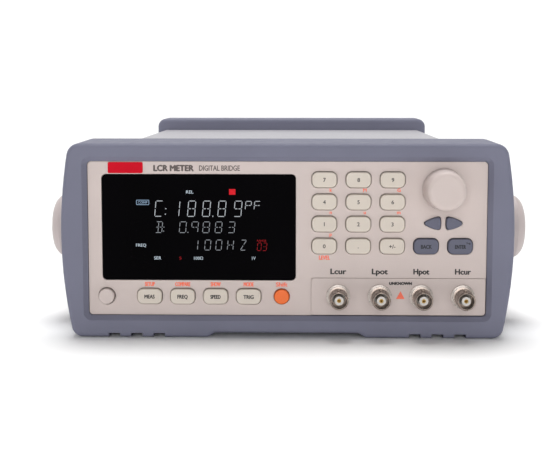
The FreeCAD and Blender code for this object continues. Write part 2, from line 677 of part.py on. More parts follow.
def arrow_key(sign):
    cap = round_front(arrow_solid(sign, 0, -KEY_PROUD, FLANGE_REAR), -KEY_PROUD, KEY_EDGE)
    flange = arrow_solid(sign, KEY_FLANGE, FLANGE_FRONT, FLANGE_REAR)
    return cap.fuse(flange).removeSplitter()


def key_places():
    """Every rectangular key by name, with its place on the panel."""
    names = [["key_7", "key_8", "key_9"], ["key_4", "key_5", "key_6"],
             ["key_1", "key_2", "key_3"], ["key_0", "key_point", "key_sign"]]
    places = {}
    for row, line in enumerate(names):
        for column, name in enumerate(line):
            places[name] = (COLUMNS[column], ROWS[row])
    places["back_key"] = (COLUMNS[3], ROWS[3])
    places["enter_key"] = (COLUMNS[4], ROWS[3])
    for n in range(4):
        places["function_key_%d" % (n + 1)] = (FUNCTION_X[n], FUNCTION_Z)
    return places


# ---- front panel and what it carries ---------------------------------------------------------------

def post_places():
    """Posts behind the panel that carry the keypad board."""
    between = (COLUMNS[2] + COLUMNS[3]) / 2
    left = COLUMNS[0] - KEY_WIDTH / 2 - KEY_FLANGE - POST_RADIUS - POST_GAP
    beside_shift = FUNCTION_X[3] + KEY_WIDTH / 2 + SHIFT_GAP / 2
    return [(left, ROWS[0]), (left, ROWS[3]), (between, ROWS[0]), (between, ROWS[3]),
            (POWER_X + POWER_POST, FUNCTION_Z), (beside_shift, FUNCTION_Z)]


def front_panel():
    mid_z = PANEL_BASE + PANEL_HEIGHT / 2
    case_z = FOOT_HEIGHT + CASE_HEIGHT / 2
    slab = rounded_block(0, mid_z, PANEL_WIDTH, PANEL_HEIGHT, PANEL_CORNER, 0, PANEL_THICKNESS)
    rim = rounded_block(0, case_z, CASE_WIDTH, CASE_HEIGHT - 2 * FLANGE_PLAY, PANEL_CORNER,
                        PANEL_THICKNESS, CASE_FRONT)
    room = block(PANEL_LEFT + RIM_WALL, PANEL_RIGHT - RIM_WALL, PANEL_THICKNESS, CASE_FRONT,
                 PANEL_BASE + RIM_WALL, PANEL_TOP - RIM_WALL)
    posts = [rod_y(x, z, POST_RADIUS, PANEL_THICKNESS, KEYPAD_FRONT) for x, z in post_places()]
    shape = fuse([slab, rim.cut(room)] + posts)

    seat = rounded_block(WINDOW_X, WINDOW_Z, WINDOW_WIDTH, WINDOW_HEIGHT, WINDOW_CORNER,
                         -1, WINDOW_SUNK + WINDOW_THICKNESS)
    through = block(WINDOW_LEFT + WINDOW_LEDGE, WINDOW_LEFT + WINDOW_WIDTH - WINDOW_LEDGE, 0, CASE_FRONT,
                    WINDOW_BASE + WINDOW_LEDGE, WINDOW_BASE + WINDOW_HEIGHT - WINDOW_LEDGE)
    tools = [seat, through]
    for x, z in key_places().values():
        tools.append(rounded_block(x, z, KEY_WIDTH + 2 * KEY_PLAY, KEY_HEIGHT + 2 * KEY_PLAY,
                                   KEY_CORNER + KEY_PLAY, -1, CASE_FRONT))
    tools.append(rod_y(SHIFT_X, FUNCTION_Z, SHIFT_DIAMETER / 2 + KEY_PLAY, -1, CASE_FRONT))
    tools.append(rod_y(POWER_X, FUNCTION_Z, POWER_DIAMETER / 2 + POWER_PLAY, -1, CASE_FRONT))
    tools += [arrow_solid(sign, KEY_PLAY, -1, CASE_FRONT) for sign in (1, -1)]
    tools.append(rod_y(KNOB_X, KNOB_Z, ENCODER_BUSHING / 2 + SCREW_PLAY, -1, CASE_FRONT))
    tools += [rod_y(x, BNC_Z, BNC_THREAD / 2 + SCREW_PLAY, -1, CASE_FRONT) for x in BNC_X]
    floor = TERMINAL_FACE + TERMINAL_PLATE_THICKNESS
    tools.append(block(TERMINAL_LEFT - TERMINAL_GROOVE, PANEL_RIGHT + 1, -1, floor,
                       PANEL_BASE - 1, TERMINAL_TOP + TERMINAL_GROOVE))
    return cut(shape, tools)


def terminal_plate():
    right = PANEL_RIGHT - TERMINAL_GROOVE
    base = PANEL_BASE + TERMINAL_GROOVE
    plate = rounded_block((TERMINAL_LEFT + right) / 2, (base + TERMINAL_TOP) / 2, right - TERMINAL_LEFT,
                          TERMINAL_TOP - base, PANEL_CORNER * 0.75, TERMINAL_FACE,
                          TERMINAL_FACE + TERMINAL_PLATE_THICKNESS)
    return cut(plate, [rod_y(x, BNC_Z, BNC_THREAD / 2 + SCREW_PLAY, -1, 3) for x in BNC_X])


def display_window():
    shape = rounded_block(WINDOW_X, WINDOW_Z, WINDOW_WIDTH - 2 * WINDOW_PLAY, WINDOW_HEIGHT - 2 * WINDOW_PLAY,
                          WINDOW_CORNER, WINDOW_SUNK, WINDOW_SUNK + WINDOW_THICKNESS)
    return round_front(shape, WINDOW_SUNK, WINDOW_EDGE)


def module_half():
    half_x = WINDOW_WIDTH / 2 - WINDOW_LEDGE + MODULE_OVERLAP
    half_z = WINDOW_HEIGHT / 2 - WINDOW_LEDGE + MODULE_OVERLAP
    return half_x, half_z


def display_module():
    """Metal-framed display: frame with a raised glass in the opening behind the window."""
    half_x, half_z = module_half()
    can = block(WINDOW_X - half_x, WINDOW_X + half_x, PANEL_THICKNESS, PANEL_THICKNESS + MODULE_DEPTH,
                WINDOW_Z - half_z, WINDOW_Z + half_z)
    inset = MODULE_OVERLAP + MODULE_GLASS_PLAY
    glass = block(WINDOW_X - half_x + inset, WINDOW_X + half_x - inset,
                  WINDOW_SUNK + WINDOW_THICKNESS + MODULE_GLASS_GAP, PANEL_THICKNESS,
                  WINDOW_Z - half_z + inset, WINDOW_Z + half_z - inset)
    return can.fuse(glass)


def display_board():
    half_x, half_z = module_half()
    y0 = PANEL_THICKNESS + MODULE_DEPTH
    return block(WINDOW_X - half_x, WINDOW_X + half_x, y0, y0 + BOARD, WINDOW_Z - half_z, WINDOW_Z + half_z)


def keypad_regions():
    """Low and high corners (x0, x1, z0, z1) of the two areas behind keys."""
    half_x, half_z = module_half()
    left = WINDOW_X + half_x + MAT_MARGIN
    right = PANEL_RIGHT - RIM_WALL - MAT_MARGIN
    upper = (left, right, ROWS[3] - KEY_HEIGHT / 2 - 4, PANEL_TOP - RIM_WALL - MAT_MARGIN)
    lower = (PANEL_LEFT + RIM_WALL + MAT_MARGIN, BNC_X[0] - BNC_NUT_FLATS / 2 - 3,
             PANEL_BASE + RIM_WALL + MAT_MARGIN, WINDOW_Z - half_z - MAT_MARGIN)
    return upper, lower


def dome_places():
    places = list(key_places().values())
    places += [(SHIFT_X, FUNCTION_Z), (POWER_X, FUNCTION_Z)]
    places += [(ARROWS_X + sign * (ARROW_SPLIT + ARROW_LENGTH) / 2, ARROWS_Z) for sign in (1, -1)]
    return places


def board_openings(y0, y1):
    half = ENCODER_SIZE / 2 + 0.5
    return [block(KNOB_X - half, KNOB_X + half, y0, y1, KNOB_Z - half, KNOB_Z + half)]


def key_mat():
    sheets = [block(x0, x1, MAT_FRONT, KEYPAD_FRONT, z0, z1) for x0, x1, z0, z1 in keypad_regions()]
    domes = [rod_y(x, z, MAT_DOME_RADIUS, DOME_FRONT, MAT_FRONT) for x, z in dome_places()]
    shape = sheets[0].multiFuse(sheets[1:] + domes)
    posts = [rod_y(x, z, POST_RADIUS + POST_PLAY, DOME_FRONT - 1, KEYPAD_FRONT + 1) for x, z in post_places()]
    return cut(shape, posts + board_openings(DOME_FRONT - 1, KEYPAD_FRONT + 1))


def keypad_board():
    boards = [block(x0, x1, KEYPAD_FRONT, KEYPAD_REAR, z0, z1) for x0, x1, z0, z1 in keypad_regions()]
    return cut(Part.Compound(boards), board_openings(KEYPAD_FRONT - 1, KEYPAD_REAR + 1))


# ---- knob and encoder --------------------------------------------------------------------------------

def knob():
    base = KNOB_BASE_DIAMETER / 2
    front = KNOB_FRONT_DIAMETER / 2
    near = -KNOB_GAP
    far = -KNOB_GAP - KNOB_LENGTH
    body = turned_y(KNOB_X, KNOB_Z, [(0, near), (base, near), (front, far), (0, far)])
    body = round_front(body, far, KNOB_EDGE)
    recess = rod_y(KNOB_X, KNOB_Z, ENCODER_NUT_DIAMETER / 2 + ENCODER_NUT_ROOM,
                   near - ENCODER_NUT_THICKNESS - 1, near + 1)
    bore = rod_y(KNOB_X, KNOB_Z, SHAFT_DIAMETER / 2 + 0.01, near - SHAFT_IN_KNOB, near + 1)
    return cut(body, [recess, bore])


def encoder_shaft():
    return rod_y(KNOB_X, KNOB_Z, SHAFT_DIAMETER / 2, -KNOB_GAP - SHAFT_IN_KNOB + 0.2, KEYPAD_REAR - 1)


def encoder():
    """Housing with a threaded bushing through the panel, and its nut in front."""
    half = ENCODER_SIZE / 2
    front = -ENCODER_NUT_THICKNESS - 0.4
    housing = block(KNOB_X - half, KNOB_X + half, PANEL_THICKNESS, KEYPAD_REAR + 2,
                    KNOB_Z - half, KNOB_Z + half)
    bushing = rod_y(KNOB_X, KNOB_Z, ENCODER_BUSHING / 2, front, PANEL_THICKNESS)
    bore = rod_y(KNOB_X, KNOB_Z, SHAFT_DIAMETER / 2 + SHAFT_PLAY, front - 1, KEYPAD_REAR - 0.8)
    nut = hexagon_y(KNOB_X, KNOB_Z, ENCODER_NUT_DIAMETER * 0.86, -ENCODER_NUT_THICKNESS, 0)
    nut = nut.cut(rod_y(KNOB_X, KNOB_Z, ENCODER_BUSHING / 2 + 0.01, -ENCODER_NUT_THICKNESS - 1, 1))
    return Part.Compound([housing.fuse(bushing).cut(bore), nut])


# ---- measuring terminals -------------------------------------------------------------------------------

def bnc_bodies():
    tip = -BNC_REACH
    face = TERMINAL_FACE
    ring = face - BASE_RING
    barrel = BNC_BARREL / 2
    shapes = []
    for x in BNC_X:
        profile = [(0, BNC_TAIL), (BNC_THREAD / 2, BNC_TAIL), (BNC_THREAD / 2, face), (BNC_BASE / 2, face),
                   (BNC_BASE / 2, ring), (barrel + SHOULDER_RISE, ring - 0.3),
                   (barrel + SHOULDER_RISE, ring - SHOULDER), (barrel - 0.5, ring - SHOULDER - 0.3),
                   (barrel - 0.5, ring - SHOULDER - 1.3), (barrel - BNC_RELIEF, ring - SHOULDER - 1.6),
                   (barrel - BNC_RELIEF, tip + BNC_MOUTH), (barrel, tip + BNC_MOUTH),
                   (barrel, tip + BNC_MOUTH_EDGE), (barrel - BNC_MOUTH_EDGE, tip), (0, tip)]
        body = turned_y(x, BNC_Z, profile)
        lug_reach = barrel + BNC_LUG_RISE
        lugs = rod_z(x, tip + BNC_LUG_SETBACK, BNC_LUG / 2, BNC_Z - lug_reach, BNC_Z + lug_reach)
        body = body.fuse(lugs)
        mouth = rod_y(x, BNC_Z, BNC_BORE / 2, tip - 1, tip + BNC_BORE_DEPTH)
        tail = rod_y(x, BNC_Z, BNC_TAIL_BORE, tip + BNC_BORE_DEPTH, BNC_TAIL + 1)
        shapes.append(cut(body, [mouth, tail]))
    return Part.Compound(shapes)


def bnc_insulators():
    tip = -BNC_REACH
    floor = tip + BNC_BORE_DEPTH
    shapes = []
    for x in BNC_X:
        neck = rod_y(x, BNC_Z, BNC_INSULATOR / 2, tip + INSULATOR_SETBACK, floor)
        tail = rod_y(x, BNC_Z, BNC_TAIL_BORE - 0.02, floor, BNC_TAIL)
        hole = rod_y(x, BNC_Z, BNC_CONTACT / 2 + 0.02, tip, BNC_TAIL + 1)
        shapes.append(neck.fuse(tail).cut(hole))
    return Part.Compound(shapes)


def bnc_contacts():
    tip = -BNC_REACH + CONTACT_SETBACK
    shapes = []
    for x in BNC_X:
        pin = rod_y(x, BNC_Z, BNC_CONTACT / 2, tip, BNC_TAIL + BNC_CONTACT_TAIL)
        shapes.append(pin.cut(rod_y(x, BNC_Z, BNC_CONTACT_BORE / 2, tip - 1, tip + CONTACT_BORE_DEPTH)))
    return Part.Compound(shapes)


def bnc_nuts():
    shapes = []
    for x in BNC_X:
        nut = hexagon_y(x, BNC_Z, BNC_NUT_FLATS, PANEL_THICKNESS, PANEL_THICKNESS + BNC_NUT_THICKNESS)
        shapes.append(nut.cut(rod_y(x, BNC_Z, BNC_THREAD / 2 + 0.02, 0, PANEL_THICKNESS + 10)))
    return Part.Compound(shapes)


def bnc_leads():
    y0 = BNC_TAIL + BNC_CONTACT_TAIL
    return Part.Compound([rod_y(x, BNC_Z, LEAD_DIAMETER / 2, y0, MAIN_BOARD_FRONT) for x in BNC_X])


# ---- carrying handle ----------------------------------------------------------------------------------

def tangent_hull(circles, x0, x1):
    """Plate along X round circles (y, z, radius) listed clockwise seen from +X, joined by tangents."""
    edges = []
    lines = []
    for (ya, za, ra), (yb, zb, rb) in zip(circles, circles[1:] + circles[:1]):
        distance = math.hypot(yb - ya, zb - za)
        bearing = math.atan2(zb - za, yb - ya)
        normal = bearing + math.acos((ra - rb) / distance)
        start = V(x0, ya + ra * math.cos(normal), za + ra * math.sin(normal))
        end = V(x0, yb + rb * math.cos(normal), zb + rb * math.sin(normal))
        lines.append((start, end, normal))
        edges.append(Part.LineSegment(start, end).toShape())
    for index, (y, z, radius) in enumerate(circles):
        arrive = lines[index - 1]
        leave = lines[index]
        turn = (arrive[2] - leave[2]) % (2 * math.pi)
        middle = arrive[2] - turn / 2
        through = V(x0, y + radius * math.cos(middle), z + radius * math.sin(middle))
        edges.append(Part.Arc(arrive[1], through, leave[0]).toShape())
    wire = Part.Wire(Part.__sortEdges__(edges))
    return Part.Face(wire).extrude(V(x1 - x0, 0, 0))


def grip_circles():
    half = (GRIP_LENGTH - GRIP_THICKNESS) / 2
    return [(GRIP_STATION + half, GRIP_Z, GRIP_THICKNESS / 2),
            (GRIP_STATION - half, GRIP_Z, GRIP_THICKNESS / 2)]


def handle():
    """One-piece bail, folded back with its grip tucked under the case."""
    circles = [(PIVOT_STATION, PIVOT_Z, HANDLE_ARM_ROOT)] + grip_circles()
    arm = tangent_hull(circles, ARM_INNER, ARM_OUTER)
    hub = rod_x(PIVOT_STATION, PIVOT_Z, HUB_RADIUS, ARM_INNER, ARM_OUTER)
    right = arm.fuse(hub).removeSplitter()
    half = (GRIP_LENGTH - GRIP_THICKNESS) / 2
    grip = fuse([block(-ARM_OUTER, ARM_OUTER, GRIP_STATION - half, GRIP_STATION + half,
                       GRIP_Z - GRIP_THICKNESS / 2, GRIP_Z + GRIP_THICKNESS / 2)]
                + [rod_x(y, z, r, -ARM_OUTER, ARM_OUTER) for y, z, r in grip_circles()])
    shape = fuse([right, mirrored(right), grip])
    rear = GRIP_STATION + GRIP_LENGTH / 2
    plan = block(-ARM_OUTER, ARM_OUTER, PIVOT_STATION - 2 * HUB_RADIUS, rear, -10, PIVOT_Z + 2 * HUB_RADIUS)
    ends = [e for e in plan.Edges if e.BoundBox.ZLength > HUB_RADIUS and abs(e.CenterOfMass.y - rear) < 0.1]
    shape = shape.common(plan.makeFillet(GRIP_CORNER, ends))
    bore = rod_x(PIVOT_STATION, PIVOT_Z, STUD_DIAMETER / 2 + STUD_PLAY, -ARM_OUTER - 1, ARM_OUTER + 1)
    return shape.cut(bore)


def hub_cap():
    """Domed disc on the right hub, hollow behind to clear the stud's washer."""
    outer = ARM_OUTER + HUB_CAP
    shoulder = ARM_OUTER + HUB_CAP_EDGE
    fall = outer - shoulder
    slope = HUB_RADIUS - HUB_CAP_FLAT
    quarter = math.sqrt(0.5)

    def point(radius, x):
        return V(x, PIVOT_STATION + radius, PIVOT_Z)

    rounding = Part.Arc(point(HUB_RADIUS, shoulder),
                        point(HUB_CAP_FLAT + slope * quarter, shoulder + fall * quarter),
                        point(HUB_CAP_FLAT, outer))
    lines = [(point(HUB_CAP_FLAT, outer), point(0, outer)), (point(0, outer), point(0, ARM_OUTER)),
             (point(0, ARM_OUTER), point(HUB_RADIUS, ARM_OUTER)),
             (point(HUB_RADIUS, ARM_OUTER), point(HUB_RADIUS, shoulder))]
    edges = [rounding.toShape()] + [Part.LineSegment(a, b).toShape() for a, b in lines]
    profile = Part.Face(Part.Wire(Part.__sortEdges__(edges)))
    cap = profile.revolve(V(0, PIVOT_STATION, PIVOT_Z), V(1, 0, 0), 360)
    return cap.cut(rod_x(PIVOT_STATION, PIVOT_Z, HUB_CAP_CAVITY, ARM_OUTER - 1, ARM_OUTER + CAVITY_DEPTH))


def hub_caps():
    right = hub_cap()
    return Part.Compound([right, mirrored(right)])


def pivot_bosses():
    """Moulded spacers that carry the hubs outside the case."""
    boss = rod_x(PIVOT_STATION, PIVOT_Z, BOSS_RADIUS, HALF_CASE, ARM_INNER - BOSS_GAP)
    boss = boss.cut(rod_x(PIVOT_STATION, PIVOT_Z, STUD_DIAMETER / 2 + 0.02, HALF_CASE - 1, ARM_INNER + 1))
    return Part.Compound([boss, mirrored(boss)])


def pivot_studs():
    """Steel studs from inside the chassis, with a washer and a screw head outside the hub."""
    inside = HALF_CASE - 2 * SHEET - SHEET_GAP
    outside = ARM_OUTER + WASHER_GAP
    shaft = rod_x(PIVOT_STATION, PIVOT_Z, STUD_DIAMETER / 2, inside - STUD_COLLAR, outside)
    collar = rod_x(PIVOT_STATION, PIVOT_Z, STUD_DIAMETER / 2 + STUD_COLLAR, inside - STUD_COLLAR, inside)
    washer = rod_x(PIVOT_STATION, PIVOT_Z, WASHER_RADIUS, outside, outside + WASHER)
    head = rod_x(PIVOT_STATION, PIVOT_Z, STUD_HEAD_RADIUS, outside + WASHER, outside + WASHER + STUD_HEAD)
    stud = fuse([shaft, collar, washer, head])
    return Part.Compound([stud, mirrored(stud)])


# ---- rear panel and its fittings -------------------------------------------------------------------------

def fan_grille():
    """Round holes on a triangular grid inside the fan's circle."""
    holes = []
    reach = FAN_SWEEP - FAN_HOLE / 2
    count = int(reach / FAN_HOLE_PITCH) + 2
    for row in range(-count, count + 1):
        z = row * FAN_HOLE_PITCH * math.sqrt(0.75)
        for column in range(-count, count + 1):
            x = (column + 0.5 * (row % 2)) * FAN_HOLE_PITCH
            if math.hypot(x, z) < reach:
                holes.append(rod_y(FAN_X + x, FAN_Z + z, FAN_HOLE / 2, REAR_INSIDE - 1, REAR_FACE + 1))
    return holes


def rear_panel():
    width, height, mid = rear_opening()
    plate = rounded_block(0, mid, width - 2 * REAR_PANEL_PLAY, height - 2 * REAR_PANEL_PLAY,
                          REAR_BUMPER_CORNER / 2 - REAR_PANEL_PLAY, REAR_INSIDE, REAR_FACE)
    tools = fan_grille()
    tools += [rod_y(x, z, SCREW_RADIUS + SCREW_PLAY, REAR_INSIDE - 1, REAR_FACE + 1)
              for x, z in screw_places()]
    body_x, body_z = inlet_body_half()
    tools.append(block(INLET_X - body_x - INLET_PLAY, INLET_X + body_x + INLET_PLAY, REAR_INSIDE - 1,
                       REAR_FACE + 1, INLET_Z - body_z - INLET_PLAY, INLET_Z + body_z + INLET_PLAY))
    for z, shell in ((SERIAL_Z, SERIAL_SHELL), (HANDLER_Z, HANDLER_SHELL)):
        half_x = shell / 2 + SHELL_PLAY
        half_z = SHELL_HEIGHT / 2 + SHELL_PLAY
        tools.append(block(CONNECTOR_X - half_x, CONNECTOR_X + half_x, REAR_INSIDE - 1, REAR_FACE + 1,
                           z - half_z, z + half_z))
        for sign in (1, -1):
            tools.append(rod_y(CONNECTOR_X + sign * (shell / 2 + JACK_OFFSET), z, SCREW_RADIUS + SCREW_PLAY,
                               REAR_INSIDE - 1, REAR_FACE + 1))
    tools.append(rod_y(GROUND_X, GROUND_Z, GROUND_STUD + SCREW_PLAY, REAR_INSIDE - 1, REAR_FACE + 1))
    return cut(plate, tools)


def rear_screws():
    screws = []
    for x, z in screw_places():
        shank = rod_y(x, z, SCREW_RADIUS, REAR_FACE - REAR_SCREW_LENGTH, REAR_FACE)
        head = rod_y(x, z, SCREW_HEAD_RADIUS, REAR_FACE, REAR_FACE + SCREW_HEAD)
        reach = SCREW_HEAD_RADIUS * 0.6
        slots = [block(x - a, x + a, REAR_FACE + SCREW_HEAD / 3, REAR_FACE + SCREW_HEAD + 1, z - b, z + b)
                 for a, b in ((SLOT_WIDTH / 2, reach), (reach, SLOT_WIDTH / 2))]
        screws.append(cut(shank.fuse(head), slots))
    return screws


def case_screws():
    return Part.Compound(cover_screws() + rear_screws())


def fan_frame():
    half = FAN_SIZE / 2
    frame = rounded_block(FAN_X, FAN_Z, FAN_SIZE, FAN_SIZE, 4, FAN_FRONT, REAR_INSIDE)
    frame = frame.cut(rod_y(FAN_X, FAN_Z, FAN_SWEEP + 1, FAN_FRONT - 1, REAR_INSIDE + 1))
    seat = rod_y(FAN_X, FAN_Z, FAN_HUB, FAN_FRONT, FAN_FRONT + FAN_SEAT)
    struts = []
    for n in range(FAN_STRUTS):
        strut = block(FAN_X, FAN_X + half - 2, FAN_FRONT, FAN_FRONT + FAN_SEAT, FAN_Z - 1.5, FAN_Z + 1.5)
        strut.rotate(V(FAN_X, 0, FAN_Z), V(0, 1, 0), 90 + 360 * n / FAN_STRUTS)
        struts.append(strut)
    frame = fuse([frame, seat] + struts)
    bore = rod_y(FAN_X, FAN_Z, FAN_AXLE + SHAFT_PLAY, FAN_FRONT - 1, FAN_FRONT + FAN_SEAT + 1)
    holes = [rod_y(FAN_X + sx * (half - 5), FAN_Z + sz * (half - 5), 2, FAN_FRONT - 1, REAR_INSIDE + 1)
             for sx in (1, -1) for sz in (1, -1)]
    return cut(frame, [bore] + holes)


def fan_rotor():
    front = FAN_FRONT + FAN_SEAT + 0.6
    rear = REAR_INSIDE - 1.2
    hub = rod_y(FAN_X, FAN_Z, FAN_HUB, front, rear)
    axle = rod_y(FAN_X, FAN_Z, FAN_AXLE, FAN_FRONT + 0.2, front)
    blades = []
    for n in range(FAN_BLADES):
        half = (rear - front) / 2 + 1
        blade = block(-FAN_BLADE / 2, FAN_BLADE / 2, -half, half, FAN_HUB - 1, FAN_SWEEP - 0.5)
        blade.rotate(V(0, 0, 0), V(0, 0, 1), FAN_BLADE_TWIST)
        blade.translate(V(FAN_X, (front + rear) / 2, FAN_Z))
        blade.rotate(V(FAN_X, 0, FAN_Z), V(0, 1, 0), 360 * n / FAN_BLADES)
        blades.append(blade)
    return fuse([hub, axle] + blades)


def inlet_body_half():
    return INLET_WIDTH / 2 - INLET_EDGE, INLET_HEIGHT / 2 - INLET_EDGE


def mains_inlet():
    """Flanged inlet with a three-pin socket below and a fuse drawer's pocket above."""
    body_x, body_z = inlet_body_half()
    outside = REAR_FACE + INLET_FLANGE
    inside = REAR_FACE - INLET_BODY_DEPTH
    flange = rounded_block(INLET_X, INLET_Z, INLET_WIDTH, INLET_HEIGHT, INLET_EDGE, REAR_FACE, outside)
    body = block(INLET_X - body_x, INLET_X + body_x, inside, REAR_FACE, INLET_Z - body_z, INLET_Z + body_z)
    shape = flange.fuse(body).removeSplitter()
    z = INLET_Z + SOCKET_Z
    socket = block(INLET_X - SOCKET_WIDTH / 2, INLET_X + SOCKET_WIDTH / 2, outside - SOCKET_DEPTH,
                   outside + 1, z - SOCKET_HEIGHT / 2, z + SOCKET_HEIGHT / 2)
    corners = [e for e in socket.Edges if e.BoundBox.YLength > SOCKET_DEPTH / 2 and e.CenterOfMass.z > z]
    socket = socket.makeChamfer(SOCKET_CORNER, corners)
    d_z = INLET_Z + DRAWER_Z
    half_w = DRAWER_WIDTH / 2 + DRAWER_PLAY
    half_h = DRAWER_HEIGHT / 2 + DRAWER_PLAY
    pocket = block(INLET_X - half_w, INLET_X + half_w, outside - DRAWER_DEPTH - DRAWER_PLAY, outside + 1,
                   d_z - half_h, d_z + half_h)
    shape = cut(shape, [socket, pocket])
    pins = []
    for dx, dz in ((-7, -2), (7, -2), (0, 2)):
        pins.append(block(INLET_X + dx - 1, INLET_X + dx + 1, outside - SOCKET_DEPTH, outside - 2.5,
                          z + dz - 2, z + dz + 2))
    return fuse([shape] + pins)


def fuse_drawer():
    outside = REAR_FACE + INLET_FLANGE
    z = INLET_Z + DRAWER_Z
    tray = block(INLET_X - DRAWER_WIDTH / 2, INLET_X + DRAWER_WIDTH / 2, outside - DRAWER_DEPTH, outside,
                 z - DRAWER_HEIGHT / 2, z + DRAWER_HEIGHT / 2)
    half = DRAWER_WIDTH / 2 - DRAWER_WALL
    cavity = block(INLET_X - half, INLET_X + half, outside - DRAWER_DEPTH + DRAWER_WALL,
                   outside - DRAWER_WALL, z - DRAWER_HEIGHT / 2 + DRAWER_WALL, z + DRAWER_HEIGHT)
    lip = block(INLET_X - DRAWER_WIDTH / 2, INLET_X + DRAWER_WIDTH / 2, outside, outside + DRAWER_LIP,
                z - DRAWER_HEIGHT / 2, z + DRAWER_HEIGHT / 2)
    notch = block(INLET_X - 5, INLET_X + 5, outside + DRAWER_LIP / 2, outside + DRAWER_LIP + 1,
                  z + DRAWER_HEIGHT / 2 - 2.5, z + DRAWER_HEIGHT)
    return cut(tray.fuse(lip).removeSplitter(), [cavity, notch])


def d_connector(z, width, contacts):
    """D-shaped shell on a flange, a contact block inside it and two jack screws."""
    def d_shape(inset, y0, y1):
        top = width / 2 - inset
        low = top - SHELL_TAPER
        high = SHELL_HEIGHT / 2 - inset
        outline = [(CONNECTOR_X - top, z + high), (CONNECTOR_X + top, z + high),
                   (CONNECTOR_X + low, z - high), (CONNECTOR_X - low, z - high)]
        return prism(outline, y0, y1)

    flange = block(CONNECTOR_X - width / 2 - 7, CONNECTOR_X + width / 2 + 7, REAR_INSIDE - 1, REAR_INSIDE,
                   z - 6, z + 6)
    shell = d_shape(0, REAR_INSIDE, REAR_FACE + SHELL_REACH)
    shell = shell.cut(d_shape(SHELL_WALL, REAR_INSIDE, REAR_FACE + SHELL_REACH + 1))
    insulator = d_shape(SHELL_WALL, REAR_INSIDE, REAR_FACE + SHELL_REACH / 3)
    pieces = [flange, shell, insulator]
    for line, count in enumerate(contacts):
        for n in range(count):
            x = CONNECTOR_X + (n - (count - 1) / 2) * CONTACT_PITCH
            pieces.append(rod_y(x, z + CONTACT_ROWS * (0.5 - line), 0.5, REAR_FACE,
                                REAR_FACE + SHELL_REACH - 0.8))
    for sign in (1, -1):
        x = CONNECTOR_X + sign * (width / 2 + JACK_OFFSET)
        jack = hexagon_y(x, z, 2 * JACK_RADIUS, REAR_FACE, REAR_FACE + SHELL_REACH - 1)
        jack = jack.cut(rod_y(x, z, 1.3, REAR_FACE + 1, REAR_FACE + SHELL_REACH))
        pieces += [jack, rod_y(x, z, SCREW_RADIUS, REAR_INSIDE, REAR_FACE)]
    return fuse(pieces)


def serial_connector():
    return d_connector(SERIAL_Z, SERIAL_SHELL, (5, 4))


def handler_connector():
    return d_connector(HANDLER_Z, HANDLER_SHELL, (13, 12))


def ground_post():
    stud = rod_y(GROUND_X, GROUND_Z, GROUND_STUD, REAR_INSIDE - 4, REAR_FACE + GROUND_LENGTH)
    base = hexagon_y(GROUND_X, GROUND_Z, 9, REAR_FACE, REAR_FACE + 3)
    inner = hexagon_y(GROUND_X, GROUND_Z, 8, REAR_INSIDE - 3, REAR_INSIDE)
    thumb = rod_y(GROUND_X, GROUND_Z, GROUND_KNOB_RADIUS, REAR_FACE + 5, REAR_FACE + 11)
    grooves = []
    for n in range(GROUND_RIDGES):
        angle = math.radians(360 * n / GROUND_RIDGES)
        reach = GROUND_KNOB_RADIUS + 0.2
        grooves.append(rod_y(GROUND_X + reach * math.cos(angle), GROUND_Z + reach * math.sin(angle), 0.5,
                             REAR_FACE + 4, REAR_FACE + 12))
    return fuse([stud, base, inner, cut(thumb, grooves)])


# ---- inside -----------------------------------------------------------------------------------------------

def main_board():
    """Board with its front connectors and a few tall components."""
    top = BOARD_Z + BOARD
    board = block(-BOARD_HALF, BOARD_HALF, MAIN_BOARD_FRONT, BOARD_REAR, BOARD_Z, top)
    lead_header = block(BNC_X[0] - 6, BNC_X[-1] + 6, MAIN_BOARD_FRONT, MAIN_BOARD_FRONT + 8, top, BNC_Z + 3)
    ribbon_header = block(FUNCTION_X[3] - RIBBON_WIDTH / 2 - 2, FUNCTION_X[3] + RIBBON_WIDTH / 2 + 2,
                          MAIN_BOARD_FRONT, MAIN_BOARD_FRONT + 6, top, BNC_Z + 3)
    capacitors = [rod_z(BOARD_HALF - 15 - 20 * n, BOARD_REAR - 15, 8, top, top + 25) for n in range(3)]
    chips = [block(-20 + 30 * n, 0 + 30 * n, BOARD_REAR - 24, BOARD_REAR - 8, top, top + 3) for n in range(2)]
    return fuse([board, lead_header, ribbon_header] + capacitors + chips)


def standoffs():
    stations = (MAIN_BOARD_FRONT + 12, BOARD_REAR - 30)
    places = [(sx * (BOARD_HALF - 6), y) for sx in (1, 0, -1) for y in stations]
    return Part.Compound([rod_z(x, y, STANDOFF_RADIUS, FOOT_HEIGHT + SHEET, BOARD_Z) for x, y in places])


def shield_can():
    top = BOARD_Z + BOARD
    x0 = -BOARD_HALF + 54.5
    x1 = BOARD_HALF - 20
    y0 = MAIN_BOARD_FRONT + 16
    y1 = BOARD_REAR - 34
    outer = block(x0, x1, y0, y1, top, top + SHIELD_HEIGHT)
    inner = block(x0 + SHIELD_WALL, x1 - SHIELD_WALL, y0 + SHIELD_WALL, y1 - SHIELD_WALL, top - 1,
                  top + SHIELD_HEIGHT - SHIELD_WALL)
    return outer.cut(inner)


def heat_sink():
    top = BOARD_Z + BOARD
    x0 = -BOARD_HALF + 6
    y0 = MAIN_BOARD_FRONT + 30
    y1 = BOARD_REAR - 34
    base = block(x0, x0 + 38, y0, y1, top, top + 3)
    fins = [block(x0 + 5 * n, x0 + 5 * n + 1.5, y0, y1, top + 3, top + 26) for n in range(8)]
    return fuse([base] + fins)


